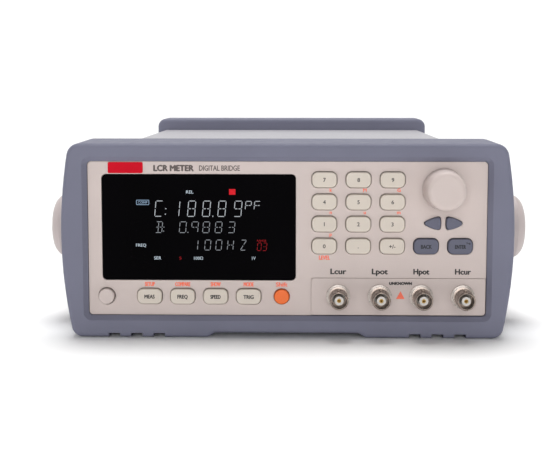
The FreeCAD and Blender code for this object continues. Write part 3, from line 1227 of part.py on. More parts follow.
def transformer():
    """Laminated core with its winding, standing on the chassis floor."""
    base = FOOT_HEIGHT + SHEET
    x1 = HALF_CASE - TRANSFORMER_SIDE_GAP
    x0 = x1 - TRANSFORMER_WIDTH
    y0 = TRANSFORMER_FRONT
    y1 = y0 + TRANSFORMER_LENGTH
    inset = (TRANSFORMER_LENGTH - TRANSFORMER_CORE) / 2
    low = base + TRANSFORMER_LIMB
    high = base + TRANSFORMER_HEIGHT - TRANSFORMER_LIMB
    core = block(x0, x1, y0 + inset, y1 - inset, base, base + TRANSFORMER_HEIGHT)
    middle = (x0 + x1) / 2
    windows = [block(x0 + TRANSFORMER_LIMB, middle - TRANSFORMER_LIMB / 2, y0, y1, low, high),
               block(middle + TRANSFORMER_LIMB / 2, x1 - TRANSFORMER_LIMB, y0, y1, low, high)]
    core = cut(core, windows)
    winding = block(x0 + TRANSFORMER_LIMB, x1 - TRANSFORMER_LIMB, y0, y1, low + 1, high - 1)
    return Part.Compound([core, winding.cut(core)])


def ribbon_cable():
    """Flat cable from the keypad board's connector to the main board's."""
    x0 = FUNCTION_X[3] - RIBBON_WIDTH / 2
    x1 = FUNCTION_X[3] + RIBBON_WIDTH / 2
    plug = block(x0 - 2, x1 + 2, KEYPAD_REAR, KEYPAD_REAR + 5, BNC_Z - 3, BNC_Z + 3)
    strip = block(x0, x1, KEYPAD_REAR + 5, MAIN_BOARD_FRONT, BNC_Z - RIBBON_THICKNESS / 2,
                  BNC_Z + RIBBON_THICKNESS / 2)
    return plug.fuse(strip)


# ---- write every piece -----------------------------------------------------------------------------------

def all_pieces():
    pieces = {}
    for name, (x, z) in key_places().items():
        pieces[name] = rectangular_key(x, z)
    pieces["left_key"] = arrow_key(-1)
    pieces["right_key"] = arrow_key(1)
    pieces["shift_key"] = round_key(SHIFT_X, FUNCTION_Z, SHIFT_DIAMETER, KEY_PROUD, KEY_PLAY)
    pieces["power_button"] = round_key(POWER_X, FUNCTION_Z, POWER_DIAMETER, POWER_PROUD, POWER_PLAY)
    makers = [front_bumper, rear_bumper, front_panel, terminal_plate, display_window, display_module,
              display_board, key_mat, keypad_board, knob, encoder_shaft, encoder, bnc_bodies,
              bnc_insulators, bnc_contacts, bnc_nuts, bnc_leads, top_cover, bottom_chassis, case_screws,
              rear_panel, mains_inlet, fuse_drawer, serial_connector, handler_connector,
              ground_post, fan_frame, fan_rotor, main_board, standoffs, shield_can, heat_sink, transformer,
              ribbon_cable, handle, hub_caps, pivot_bosses, pivot_studs]
    for make in makers:
        pieces[make.__name__] = make()
    return pieces


os.makedirs("parts", exist_ok=True)
for piece_name, piece in all_pieces().items():
    piece = piece.copy()
    piece.translate(V(0, -MIDDLE, 0))
    piece.exportStep("parts/%s.step" % piece_name)
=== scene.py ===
"""Looks for the bench LCR meter: materials, printed legends, display, studio and camera.

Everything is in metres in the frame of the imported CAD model. Sizes below are in millimetres
and are multiplied by MM where they are used. The front panel faces -Y, so all printing does too.
"""

import json
import math

import bmesh
import bpy
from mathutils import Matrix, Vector


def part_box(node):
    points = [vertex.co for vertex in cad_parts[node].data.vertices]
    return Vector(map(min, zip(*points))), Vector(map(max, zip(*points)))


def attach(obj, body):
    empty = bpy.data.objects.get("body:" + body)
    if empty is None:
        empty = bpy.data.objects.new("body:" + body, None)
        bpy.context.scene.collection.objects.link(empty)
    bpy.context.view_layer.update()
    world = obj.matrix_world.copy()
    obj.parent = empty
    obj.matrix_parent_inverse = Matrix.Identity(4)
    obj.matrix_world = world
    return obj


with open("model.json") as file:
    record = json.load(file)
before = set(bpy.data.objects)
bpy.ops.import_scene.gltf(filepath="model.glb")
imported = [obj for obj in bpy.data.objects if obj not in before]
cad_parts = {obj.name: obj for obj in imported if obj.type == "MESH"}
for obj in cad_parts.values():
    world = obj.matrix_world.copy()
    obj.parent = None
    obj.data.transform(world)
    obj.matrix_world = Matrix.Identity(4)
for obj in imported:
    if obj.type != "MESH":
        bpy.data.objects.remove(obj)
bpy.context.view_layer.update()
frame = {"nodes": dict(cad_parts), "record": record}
nodes = frame["nodes"]

MM = 0.001
PRINT_RISE = 0.03        # lettering stands this far off the surface it is printed on
PRINT_DEPTH = 0.03
PAINTED_REFLECTION_FOOT = 2.6          # ring and shoulder at the foot of each jack, to this depth: painted pale as a painted reflection of the beige panel
BNC_RING = 6.35          # radius of that ring
CAP_HEIGHT = 0.73        # of the built-in font at size 1
STRIKE_STEP = 0.004      # repeated strikes of bold print lie this far in front of each other

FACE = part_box("front_panel")[0].y
PLATE_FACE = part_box("terminal_plate")[0].y
WINDOW_LOW, WINDOW_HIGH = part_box("display_window")


# ---- camera ------------------------------------------------------------------------------------

CAMERA_PLACE = (6.5, -580.7, 134.3)      # from the panel's face, on the table
CAMERA_YAW = 1.26                        # degrees, to the left
CAMERA_PITCH = 5.49                      # degrees, downwards
CAMERA_LENS = 72.3
CAMERA_SHIFT = -0.0808


def set_colours():
    """Plain display colours, so that a white floor comes out white."""
    bpy.context.scene.view_settings.view_transform = "Standard"
    bpy.context.scene.view_settings.look = "None"


def make_camera():
    data = bpy.data.cameras.new("camera")
    data.lens = CAMERA_LENS
    data.sensor_width = 36.0
    data.shift_y = CAMERA_SHIFT
    data.clip_start = 0.01
    data.clip_end = 200.0
    camera = bpy.data.objects.new("camera", data)
    bpy.context.scene.collection.objects.link(camera)
    x, y, z = CAMERA_PLACE
    camera.location = (x * MM, FACE + y * MM, z * MM)
    camera.rotation_euler = (math.radians(90 - CAMERA_PITCH), 0.0, math.radians(CAMERA_YAW))
    bpy.context.scene.camera = camera


# ---- node helpers ---------------------------------------------------------------------------------

class Shader:
    """A Principled material under construction, patterned in the object's own coordinates."""

    def __init__(self, name):
        self.material = bpy.data.materials.new(name)
        self.material.use_nodes = True
        self.tree = self.material.node_tree
        self.surface = self.tree.nodes["Principled BSDF"]
        self.place = self.tree.nodes.new("ShaderNodeTexCoord").outputs["Object"]

    def node(self, kind, **values):
        made = self.tree.nodes.new(kind)
        for key, value in values.items():
            setattr(made, key, value)
        return made

    def link(self, source, target):
        self.tree.links.new(source, target)

    def stretched(self, factors):
        """Object coordinates multiplied along each axis, for brushed or drawn surfaces."""
        mapping = self.node("ShaderNodeMapping")
        mapping.inputs["Scale"].default_value = factors
        self.link(self.place, mapping.inputs["Vector"])
        return mapping.outputs["Vector"]

    def noise(self, size_mm, detail=2.0, vector=None, roughness=0.5):
        """Noise whose blotches are about size_mm across."""
        made = self.node("ShaderNodeTexNoise")
        made.inputs["Scale"].default_value = 1.0 / (size_mm * MM)
        made.inputs["Detail"].default_value = detail
        made.inputs["Roughness"].default_value = roughness
        self.link(vector or self.place, made.inputs["Vector"])
        return made.outputs["Fac"]

    def cells(self, size_mm):
        made = self.node("ShaderNodeTexVoronoi")
        made.inputs["Scale"].default_value = 1.0 / (size_mm * MM)
        self.link(self.place, made.inputs["Vector"])
        return made.outputs["Distance"]

    def tint(self, fac, dark, light, low=0.3, high=0.7):
        """Base colour between two shades, by a factor."""
        ramp = self.node("ShaderNodeValToRGB")
        ramp.color_ramp.elements[0].position = low
        ramp.color_ramp.elements[1].position = high
        ramp.color_ramp.elements[0].color = (*dark, 1.0)
        ramp.color_ramp.elements[1].color = (*light, 1.0)
        self.link(fac, ramp.inputs["Fac"])
        self.link(ramp.outputs["Color"], self.surface.inputs["Base Color"])

    def roughen(self, fac, low, high):
        span = self.node("ShaderNodeMapRange")
        span.inputs["From Min"].default_value = 0.3
        span.inputs["From Max"].default_value = 0.7
        span.inputs["To Min"].default_value = low
        span.inputs["To Max"].default_value = high
        self.link(fac, span.inputs["Value"])
        self.link(span.outputs["Result"], self.surface.inputs["Roughness"])

    def bump(self, heights, depth_mm, strength=1.0):
        """Surface relief of the given depth, from one factor or the sum of several."""
        total = heights[0]
        for extra in heights[1:]:
            add = self.node("ShaderNodeMath", operation="ADD")
            self.link(total, add.inputs[0])
            self.link(extra, add.inputs[1])
            total = add.outputs[0]
        bump = self.node("ShaderNodeBump")
        bump.inputs["Strength"].default_value = strength
        bump.inputs["Distance"].default_value = depth_mm * MM
        self.link(total, bump.inputs["Height"])
        self.link(bump.outputs["Normal"], self.surface.inputs["Normal"])


def shade(colour, factor):
    return tuple(min(1.0, c * factor) for c in colour)


# ---- materials ---------------------------------------------------------------------------------------

def moulded(name, colour, grain=0.45, relief=0.02, rough=(0.42, 0.55), spread=0.05, specular=0.4):
    """Moulded plastic: faint cloudiness, fine spark-eroded grain."""
    s = Shader(name)
    s.tint(s.noise(26.0, 3.0), shade(colour, 1 - spread), shade(colour, 1 + spread))
    s.roughen(s.noise(3.0, 2.0), *rough)
    s.bump([s.noise(grain, 2.0), s.cells(grain * 1.6)], relief)
    s.surface.inputs["Specular IOR Level"].default_value = specular
    return s.material


def soft_rubber(name, colour):
    """Dull overmoulded bumper with a leathery grain."""
    s = Shader(name)
    s.tint(s.noise(40.0, 4.0), shade(colour, 0.95), shade(colour, 1.05))
    s.roughen(s.noise(5.0, 3.0), 0.46, 0.6)
    s.bump([s.cells(0.7), s.noise(0.35, 2.0)], 0.03)
    s.surface.inputs["Specular IOR Level"].default_value = 0.18
    return s.material


def powder_coat(name, colour):
    """Painted sheet with an orange-peel surface."""
    s = Shader(name)
    s.tint(s.noise(60.0, 3.0), shade(colour, 0.97), shade(colour, 1.03))
    s.roughen(s.noise(2.0, 3.0), 0.36, 0.48)
    s.bump([s.noise(1.1, 2.0), s.noise(0.4, 1.0)], 0.025)
    s.surface.inputs["Specular IOR Level"].default_value = 0.4
    return s.material


def metal_shader(name, colour, rough, brushed, relief):
    s = Shader(name)
    vector = s.stretched(brushed) if brushed else None
    s.tint(s.noise(4.0, 3.0, vector), shade(colour, 0.9), shade(colour, 1.05))
    s.roughen(s.noise(1.2, 3.0, vector), *rough)
    s.bump([s.noise(0.5, 2.0, vector)], relief)
    s.surface.inputs["Metallic"].default_value = 1.0
    return s


def metal(name, colour, rough=(0.18, 0.3), brushed=None, relief=0.004):
    """Bare or plated metal, brushed along an axis if stretch factors are given."""
    return metal_shader(name, colour, rough, brushed, relief).material


def jack_plating(name, barrel, panel_reflection_colour):
    """Brownish bright nickel on the barrel; the ring and shoulder at its foot are painted pale and dull, a
    painted reflection of the beige panel round each jack.
    """
    s = metal_shader(name, barrel, (0.24, 0.36), None, 0.004)
    split = s.node("ShaderNodeSeparateXYZ")
    s.link(s.place, split.inputs[0])
    # painted reflection: near the plate, the foot takes the panel's pale colour and less metal
    at_foot = s.node("ShaderNodeMapRange")
    at_foot.inputs["From Min"].default_value = PLATE_FACE - PAINTED_REFLECTION_FOOT * MM
    at_foot.inputs["From Max"].default_value = PLATE_FACE - (PAINTED_REFLECTION_FOOT - 0.3) * MM
    s.link(split.outputs["Y"], at_foot.inputs["Value"])
    mix = s.node("ShaderNodeMix", data_type="RGBA")
    s.link(at_foot.outputs["Result"], mix.inputs["Factor"])
    s.link(s.surface.inputs["Base Color"].links[0].from_socket, mix.inputs["A"])
    mix.inputs["B"].default_value = (*panel_reflection_colour, 1.0)
    s.link(mix.outputs["Result"], s.surface.inputs["Base Color"])
    dull = s.node("ShaderNodeMapRange")
    dull.inputs["To Min"].default_value = 1.0
    dull.inputs["To Max"].default_value = 0.45
    s.link(at_foot.outputs["Result"], dull.inputs["Value"])
    s.link(dull.outputs["Result"], s.surface.inputs["Metallic"])
    return s.material


def black_window(name):
    """Tinted acrylic that hides what is behind it, with faint wiping haze."""
    s = Shader(name)
    s.tint(s.noise(50.0, 2.0), (0.0005, 0.0003, 0.0007), (0.0010, 0.0007, 0.0013))
    s.roughen(s.noise(18.0, 4.0), 0.04, 0.12)
    s.surface.inputs["Specular IOR Level"].default_value = 0.02
    return s.material


def circuit_board(name):
    s = Shader(name)
    s.tint(s.noise(1.6, 1.0, s.stretched((1.0, 6.0, 1.0))), (0.010, 0.075, 0.030), (0.020, 0.130, 0.055))
    s.roughen(s.noise(2.0), 0.3, 0.5)
    s.bump([s.noise(0.6)], 0.02)
    return s.material


def ink(name, colour, rough=0.55):
    """Screen print, a touch uneven."""
    s = Shader(name)
    s.tint(s.noise(0.5, 2.0), shade(colour, 0.88), shade(colour, 1.1))
    s.roughen(s.noise(0.4), rough - 0.05, rough + 0.05)
    return s.material


def glow(name, colour, strength):
    """Lit display segment, a little uneven along its length."""
    s = Shader(name)
    s.tint(s.noise(1.4, 1.0), (0.0, 0.0, 0.0), (0.01, 0.01, 0.01))
    s.surface.inputs["Roughness"].default_value = 0.4
    s.surface.inputs["Specular IOR Level"].default_value = 0.05
    ramp = s.node("ShaderNodeValToRGB")
    ramp.color_ramp.elements[0].position = 0.25
    ramp.color_ramp.elements[1].position = 0.75
    ramp.color_ramp.elements[0].color = (*shade(colour, 0.75), 1.0)
    ramp.color_ramp.elements[1].color = (*colour, 1.0)
    s.link(s.noise(1.1, 1.0), ramp.inputs["Fac"])
    s.link(ramp.outputs["Color"], s.surface.inputs["Emission Color"])
    s.surface.inputs["Emission Strength"].default_value = strength
    return s.material


MATERIALS = {
    "bumper": soft_rubber("bumper_rubber", (0.184, 0.187, 0.250)),
    "case_paint": powder_coat("case_paint", (0.430, 0.418, 0.450)),
    "chassis_steel": metal("chassis_steel", (0.52, 0.53, 0.54), (0.3, 0.42), (1.0, 0.06, 1.0)),
    "panel_plastic": moulded("panel_beige", (0.610, 0.520, 0.490), grain=0.35, relief=0.012, spread=0.02),
    "key_plastic": moulded("key_beige", (0.650, 0.580, 0.505), grain=0.3, relief=0.006, rough=(0.4, 0.5),
                           spread=0.02),
    "blue_gray_plastic": moulded("key_blue_gray", (0.105, 0.108, 0.155), grain=0.3, relief=0.006,
                                 rough=(0.38, 0.5)),
    "orange_plastic": moulded("key_orange", (0.860, 0.155, 0.022), grain=0.3, relief=0.005,
                              rough=(0.35, 0.45)),
    "window": black_window("window_black"),
    "display_frame": metal("display_frame", (0.45, 0.46, 0.48)),
    "circuit_board": circuit_board("board_green"),
    "silicone": moulded("silicone_gray", (0.42, 0.42, 0.40), rough=(0.5, 0.65)),
    # the second colour is a painted reflection of the beige panel on each jack's foot ring and shoulder
    "nickel": jack_plating("nickel_and_painted_reflection", (0.31, 0.250, 0.215), (0.56, 0.50, 0.46)),
    "white_insulator": moulded("insulator_white", (0.60, 0.57, 0.53), relief=0.003, rough=(0.3, 0.4),
                               spread=0.02),
    "gold": metal("gold_contact", (0.42, 0.27, 0.08), (0.25, 0.35)),
    "cable_jacket": moulded("cable_black", (0.02, 0.02, 0.022)),
    "gray_ribbon": moulded("ribbon_gray", (0.35, 0.35, 0.37)),
    "black_plastic": moulded("plastic_black", (0.018, 0.018, 0.020), grain=0.4, relief=0.015),
    "steel": metal("screw_steel", (0.50, 0.49, 0.47), (0.24, 0.36)),
    "heat_sink_metal": metal("heat_sink", (0.6, 0.6, 0.62), (0.3, 0.45), (1.0, 0.1, 1.0)),
    "handle_plastic": moulded("handle_beige", (0.530, 0.460, 0.450), grain=0.5, relief=0.02, spread=0.03),
}
INK_DARK = ink("ink_dark", (0.022, 0.018, 0.018))
INK_KEY = ink("ink_key", (0.060, 0.052, 0.050))
INK_TITLE = ink("ink_title", (0.095, 0.072, 0.066))
INK_ORANGE = ink("ink_orange", (0.930, 0.165, 0.085))
INK_DIM = ink("ink_dim", (0.012, 0.013, 0.022))
BADGE_RED = moulded("badge_red", (0.590, 0.004, 0.018), grain=0.3, relief=0.001, rough=(0.3, 0.4),
                    spread=0.03, specular=0.05)
GLOW_WHITE = glow("glow_white", (0.62, 0.66, 0.70), 0.9)
GLOW_SECOND = glow("glow_second", (0.46, 0.49, 0.53), 0.8)
GLOW_SMALL = glow("glow_small", (0.68, 0.80, 0.90), 1.0)
GLOW_BLUE = glow("glow_blue", (0.40, 0.58, 0.80), 0.9)
GLOW_RED = glow("glow_red", (0.78, 0.010, 0.022), 1.0)
GLOW_DIM_RED = glow("glow_dim_red", (0.50, 0.010, 0.016), 0.8)


def finish_cad_nodes():
    """Every CAD node takes the material of its own slot in the record."""
    slots = {entry["node"]: entry["material_slot"] for entry in frame["record"]["subparts"]}
    for name, node in nodes.items():
        material = MATERIALS[slots[name]]
        for holder in node.material_slots:
            holder.material = material


# ---- mesh helpers ----------------------------------------------------------------------------------------

def add_piece(name, mesh, body, material):
    piece = bpy.data.objects.new(name, mesh)
    bpy.context.scene.collection.objects.link(piece)
    mesh.materials.clear()
    mesh.materials.append(material)
    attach(piece, body)


def on_face(x, z, rise, face):
    """Point in metres in front of a plane that faces -Y, lifted off it by rise in mm."""
    return Vector((x, face - rise * MM, z))


def thicken(solid, faces, depth):
    """Give faces that look along -Y a thickness, in mm, towards +Y."""
    grown = bmesh.ops.extrude_face_region(solid, geom=faces)
    moved = [v for v in grown["geom"] if isinstance(v, bmesh.types.BMVert)]
    bmesh.ops.translate(solid, verts=moved, vec=(0, depth * MM, 0))


def closed_mesh(name, solid):
    """Turn a finished bmesh into a mesh with its faces looking outwards."""
    bmesh.ops.recalc_face_normals(solid, faces=solid.faces[:])
    mesh = bpy.data.meshes.new(name)
    solid.to_mesh(mesh)
    solid.free()
    return mesh


def lettering(name, text, height, centre, face, body, material, width=None, bold=0.0, height_of="H"):
    """Printed text centred on (x, z), in metres; height is that of a capital, in mm.

    Bold is how much is added to every stroke, in mm, by repeating the print a little to each side.
    With height_of "all", height is that of the whole text instead.
    """
    curve = bpy.data.curves.new(name, "FONT")
    curve.body = text
    curve.size = 1.0
    curve.align_x = "CENTER"
    curve.resolution_u = 3
    holder = bpy.data.objects.new(name, curve)
    bpy.context.scene.collection.objects.link(holder)
    bpy.context.view_layer.update()
    mesh = bpy.data.meshes.new_from_object(holder)
    bpy.data.objects.remove(holder)
    bpy.data.curves.remove(curve)
    xs = [v.co.x for v in mesh.vertices]
    ys = [v.co.y for v in mesh.vertices]
    cap = CAP_HEIGHT if height_of == "H" else max(ys) - min(ys)
    low = 0.0 if height_of == "H" else min(ys)
    scale_y = height * MM / cap
    scale_x = width * MM / (max(xs) - min(xs)) if width else scale_y
    middle_x = (max(xs) + min(xs)) / 2
    solid = bmesh.new()
    strikes = ((0, 0), (1, 0), (-1, 0), (0, 0.7), (0, -0.7)) if bold else ((0, 0),)
    for number, (right, up) in enumerate(strikes):
        before = len(solid.verts)
        solid.from_mesh(mesh)
        solid.verts.ensure_lookup_table()
        for vertex in solid.verts[before:]:
            x = (vertex.co.x - middle_x) * scale_x + right * bold * MM / 2
            z = (vertex.co.y - low) * scale_y - height * MM / 2 + up * bold * MM / 2
            rise = PRINT_RISE + number * STRIKE_STEP
            vertex.co = on_face(centre[0] + x, centre[1] + z, rise, face)
    bpy.data.meshes.remove(mesh)
    thicken(solid, solid.faces[:], PRINT_DEPTH)
    add_piece(name, closed_mesh(name, solid), body, material)


def outline_plate(name, points, face, rise, depth, body, material, bevel=0.0):
    """Flat plate with an outline of (x, z) points in metres, standing rise mm off a face."""
    solid = bmesh.new()
    corners = [solid.verts.new(on_face(x, z, rise, face)) for x, z in points]
    thicken(solid, [solid.faces.new(corners)], depth)
    if bevel:
        front = face - rise * MM
        edges = [e for e in solid.edges if all(abs(v.co.y - front) < 1e-7 for v in e.verts)]
        bmesh.ops.bevel(solid, geom=edges, offset=bevel * MM, segments=2, affect="EDGES")
    add_piece(name, closed_mesh(name, solid), body, material)


def rounded_outline(x0, x1, z0, z1, radius, steps=6):
    points = []
    for cx, cz, start in ((x1 - radius, z1 - radius, 0), (x0 + radius, z1 - radius, 90),
                          (x0 + radius, z0 + radius, 180), (x1 - radius, z0 + radius, 270)):
        for n in range(steps + 1):
            angle = math.radians(start + 90 * n / steps)
            points.append((cx + radius * math.cos(angle), cz + radius * math.sin(angle)))
    return points


# ---- printing on the front panel --------------------------------------------------------------------------

DIGIT_HEIGHT = 2.15      # legends on the keys, in mm
WORD_HEIGHT = 2.1
FUNCTION_WORD_WIDTH = 5.3
BLUE_KEY_WORD_WIDTH = 5.6
PREFIX_HEIGHT = 1.9      # orange letters below and to the right of the keys
PREFIX_SHIFT = (3.4, -5.45)
ABOVE_KEY_HEIGHT = 2.3   # orange words above the function keys
ABOVE_KEY_RISE = 6.5
JACK_LABEL_HEIGHT = 3.0
JACK_LABEL_WIDTH = 8.2
JACK_LABEL_RISE = 3.8    # above the terminal plate
TRIANGLE_HALF = 2.3
TRIANGLE_DROP = 1.4      # its base below the line of the jacks
TRIANGLE_RISE = 2.8
BADGE_WIDTH = 18.6
BADGE_HEIGHT = 5.9
BADGE_DEPTH = 0.35
TITLE_RISE = 2.8         # middle of the title above the badge's base


def centre_of(node):
    low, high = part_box(node)
    return (low.x + high.x) / 2, (low.z + high.z) / 2


def on_key(name, node, text, height, material, shift=(0, 0), **look):
    """Legend on a key, riding it; the shift from the key's middle is in mm."""
    x, z = centre_of(node)
    place = (x + shift[0] * MM, z + shift[1] * MM)
    lettering(name, text, height, place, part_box(node)[0].y, node, material, **look)


def near_key(name, node, text, height, shift, **look):
    """Orange ink on the panel, placed from the middle of a key."""
    x, z = centre_of(node)
    place = (x + shift[0] * MM, z + shift[1] * MM)
    lettering(name, text, height, place, FACE, "meter", INK_ORANGE, **look)


def print_keys():
    """Legends on the keys, each riding its own key."""
    digits = {"key_%d" % n: str(n) for n in range(10)}
    digits.update({"key_point": ".", "key_sign": "+/-"})
    for node, text in digits.items():
        on_key("legend_" + node, node, text, DIGIT_HEIGHT, INK_KEY, shift=(0, 0.1), bold=0.16)
    for number, text in enumerate(("MEAS", "FREQ", "SPEED", "TRIG"), 1):
        node = "function_key_%d" % number
        on_key("legend_" + node, node, text, WORD_HEIGHT, INK_DARK, width=FUNCTION_WORD_WIDTH, bold=0.25)
    for node, text in {"back_key": "BACK", "enter_key": "ENTER"}.items():
        on_key("legend_" + node, node, text, WORD_HEIGHT, INK_DIM, width=BLUE_KEY_WORD_WIDTH, bold=0.3)
    on_key("legend_enter_trig", "enter_key", "Trig", 0.9, INK_DIM, shift=(4.1, 1.9), width=2.2, bold=0.15)


def print_panel():
    """Ink on the panel round the keys."""
    prefixes = {"key_7": "k", "key_8": "M", "key_9": "G", "key_4": "n", "key_5": "u", "key_6": "m",
                "key_1": "p"}
    for node, text in prefixes.items():
        near_key("prefix_" + node, node, text, PREFIX_HEIGHT, PREFIX_SHIFT, bold=0.2)
    near_key("word_under_key_0", "key_0", "LEVEL", 2.2, (0.2, -6.2), width=5.7, bold=0.25)
    shifted = {"function_key_1": ("SETUP", 5.2), "function_key_2": ("COMPARE", 7.9),
               "function_key_3": ("SHOW", 5.2), "function_key_4": ("MODE", 5.2), "shift_key": ("Shift", 6.0)}
    for node, (text, width) in shifted.items():
        near_key("word_above_" + node, node, text, ABOVE_KEY_HEIGHT, (0, ABOVE_KEY_RISE), width=width,
                 bold=0.28)


def print_terminals():
    """Names of the four jacks above their plate, and the word and triangle between the jacks."""
    low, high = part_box("bnc_bodies")
    names = ("Lcur", "Lpot", "Hpot", "Hcur")
    first = low.x + BNC_RING * MM
    pitch = (high.x - low.x - 2 * BNC_RING * MM) / (len(names) - 1)
    label_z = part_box("terminal_plate")[1].z + JACK_LABEL_RISE * MM
    for n, text in enumerate(names):
        lettering("label_" + text, text, JACK_LABEL_HEIGHT, (first + pitch * n, label_z), FACE, "meter",
                  INK_DARK, width=JACK_LABEL_WIDTH, bold=0.42)
    middle = (low.x + high.x) / 2
    jack_z = (low.z + high.z) / 2
    lettering("label_unknown", "UNKNOWN", 1.5, (middle, jack_z + 7.0 * MM), PLATE_FACE, "meter", INK_DARK,
              width=11.8, bold=0.45)
    base = jack_z - TRIANGLE_DROP * MM
    triangle = [(middle - TRIANGLE_HALF * MM, base), (middle + TRIANGLE_HALF * MM, base),
                (middle, jack_z + TRIANGLE_RISE * MM)]
    outline_plate("orange_triangle", triangle, PLATE_FACE, PRINT_RISE, PRINT_DEPTH, "meter", INK_ORANGE)


def print_title():
    """Plain red badge and a generic name above the window."""
    left = WINDOW_LOW.x + 3.4 * MM
    base = WINDOW_HIGH.z + 0.6 * MM
    badge = rounded_outline(left, left + BADGE_WIDTH * MM, base, base + BADGE_HEIGHT * MM, 0.8 * MM)
    outline_plate("red_badge", badge, FACE, BADGE_DEPTH, BADGE_DEPTH, "meter", BADGE_RED, bevel=0.12)
    middle = base + TITLE_RISE * MM
    lettering("title_bold", "LCR METER", 3.2, (WINDOW_LOW.x + 38.3 * MM, middle), FACE, "meter", INK_TITLE,
              width=21.0, bold=0.6)
    lettering("title_thin", "DIGITAL BRIDGE", 2.9, (WINDOW_LOW.x + 62.6 * MM, middle), FACE, "meter",
              INK_TITLE, width=21.5, bold=0.16)


# ---- display ----------------------------------------------------------------------------------------------

SLANT = math.tan(math.radians(5.5))
COLON_HEIGHTS = (0.14, 0.5)      # of a cell
DOT_FATNESS = 1.7                # dots are this much thicker than a bar

# Ends of each bar of a cell that is one wide and one high, as (x, z) pairs.
BARS = {
    "a": ((0, 1), (1, 1)),
    "b": ((1, 1), (1, 0.5)),
    "c": ((1, 0.5), (1, 0)),
    "d": ((0, 0), (1, 0)),
    "e": ((0, 0.5), (0, 0)),
    "f": ((0, 1), (0, 0.5)),
    "g": ((0, 0.5), (0.5, 0.5)),
    "h": ((0.5, 0.5), (1, 0.5)),
    "i": ((0.4, 1), (0.4, 0.5)),
    "j": ((0.4, 0.5), (0.4, 0)),
    "k": ((1, 1), (0.5, 0.5)),
    "l": ((0.5, 0.5), (0, 0)),
}
# Bars that each glyph lights; q is a nine without its bottom bar.
GLYPHS = {
    "0": "abcdef", "1": "bc", "3": "abcdgh", "8": "abcdefgh", "9": "abcdfgh", "q": "abcfgh",
    "C": "adef", "D": "abcdijgh", "F": "aefgh", "H": "bcefgh", "P": "abefgh", "Z": "adkl",
}


def add_bar(solid, start, end, half, face):
    """One lit bar between two points, with pointed ends; half is half its thickness, in metres."""
    along = (end - start).normalized()
    across = Vector((-along.y, along.x))
    tips = [start, start + along * half + across * half, end - along * half + across * half,
            end, end - along * half - across * half, start + along * half - across * half]
    corners = [solid.verts.new(on_face(tip.x, tip.y, PRINT_RISE, face)) for tip in tips]
    thicken(solid, [solid.faces.new(corners)], PRINT_DEPTH)


def reading(name, cells, corner, size, stroke, gap, material):
    """A row of segment glyphs, with its size in mm and its corner in mm from the window's own.

    Cells lists (glyph, offset from the row's corner); dots and colons sit between. Each bar stops
    short of the corners of its cell by the gap.
    """
    face = WINDOW_LOW.y
    solid = bmesh.new()
    half = stroke / 2 * MM
    x0, z0 = corner
    width, height = size

    def place(x, z):
        return Vector((WINDOW_LOW.x + (x + (z - z0) * SLANT) * MM, WINDOW_LOW.z + z * MM))

    for glyph, offset in cells:
        left = x0 + offset
        dots = ()
        if glyph == ".":
            dots = (z0 + stroke * 0.3,)
        elif glyph == ":":
            dots = tuple(z0 + height * part for part in COLON_HEIGHTS)
        for z in dots:
            add_bar(solid, place(left - stroke, z), place(left + stroke, z), half * DOT_FATNESS, face)
        for bar in GLYPHS.get(glyph, ""):
            start, end = (place(left + x * width, z0 + z * height) for x, z in BARS[bar])
            short = (end - start).normalized() * gap * MM
            add_bar(solid, start + short, end - short, half, face)
    add_piece(name, closed_mesh(name, solid), "meter", material)


def window_text(name, text, x0, x1, z0, z1, material):
    """Small lit word filling a box given in mm from the window's lower left corner."""
    centre = (WINDOW_LOW.x + (x0 + x1) / 2 * MM, WINDOW_LOW.z + (z0 + z1) / 2 * MM)
    lettering(name, text, z1 - z0, centre, WINDOW_LOW.y, "meter", material, width=x1 - x0, height_of="all")


def window_box(name, x0, x1, z0, z1, line, material):
    """Outlined lit box of four bars."""
    solid = bmesh.new()
    corners = [Vector((WINDOW_LOW.x + x * MM, WINDOW_LOW.z + z * MM))
               for x, z in ((x0, z0), (x1, z0), (x1, z1), (x0, z1))]
    for start, end in zip(corners, corners[1:] + corners[:1]):
        add_bar(solid, start, end, line / 2 * MM, WINDOW_LOW.y)
    add_piece(name, closed_mesh(name, solid), "meter", material)


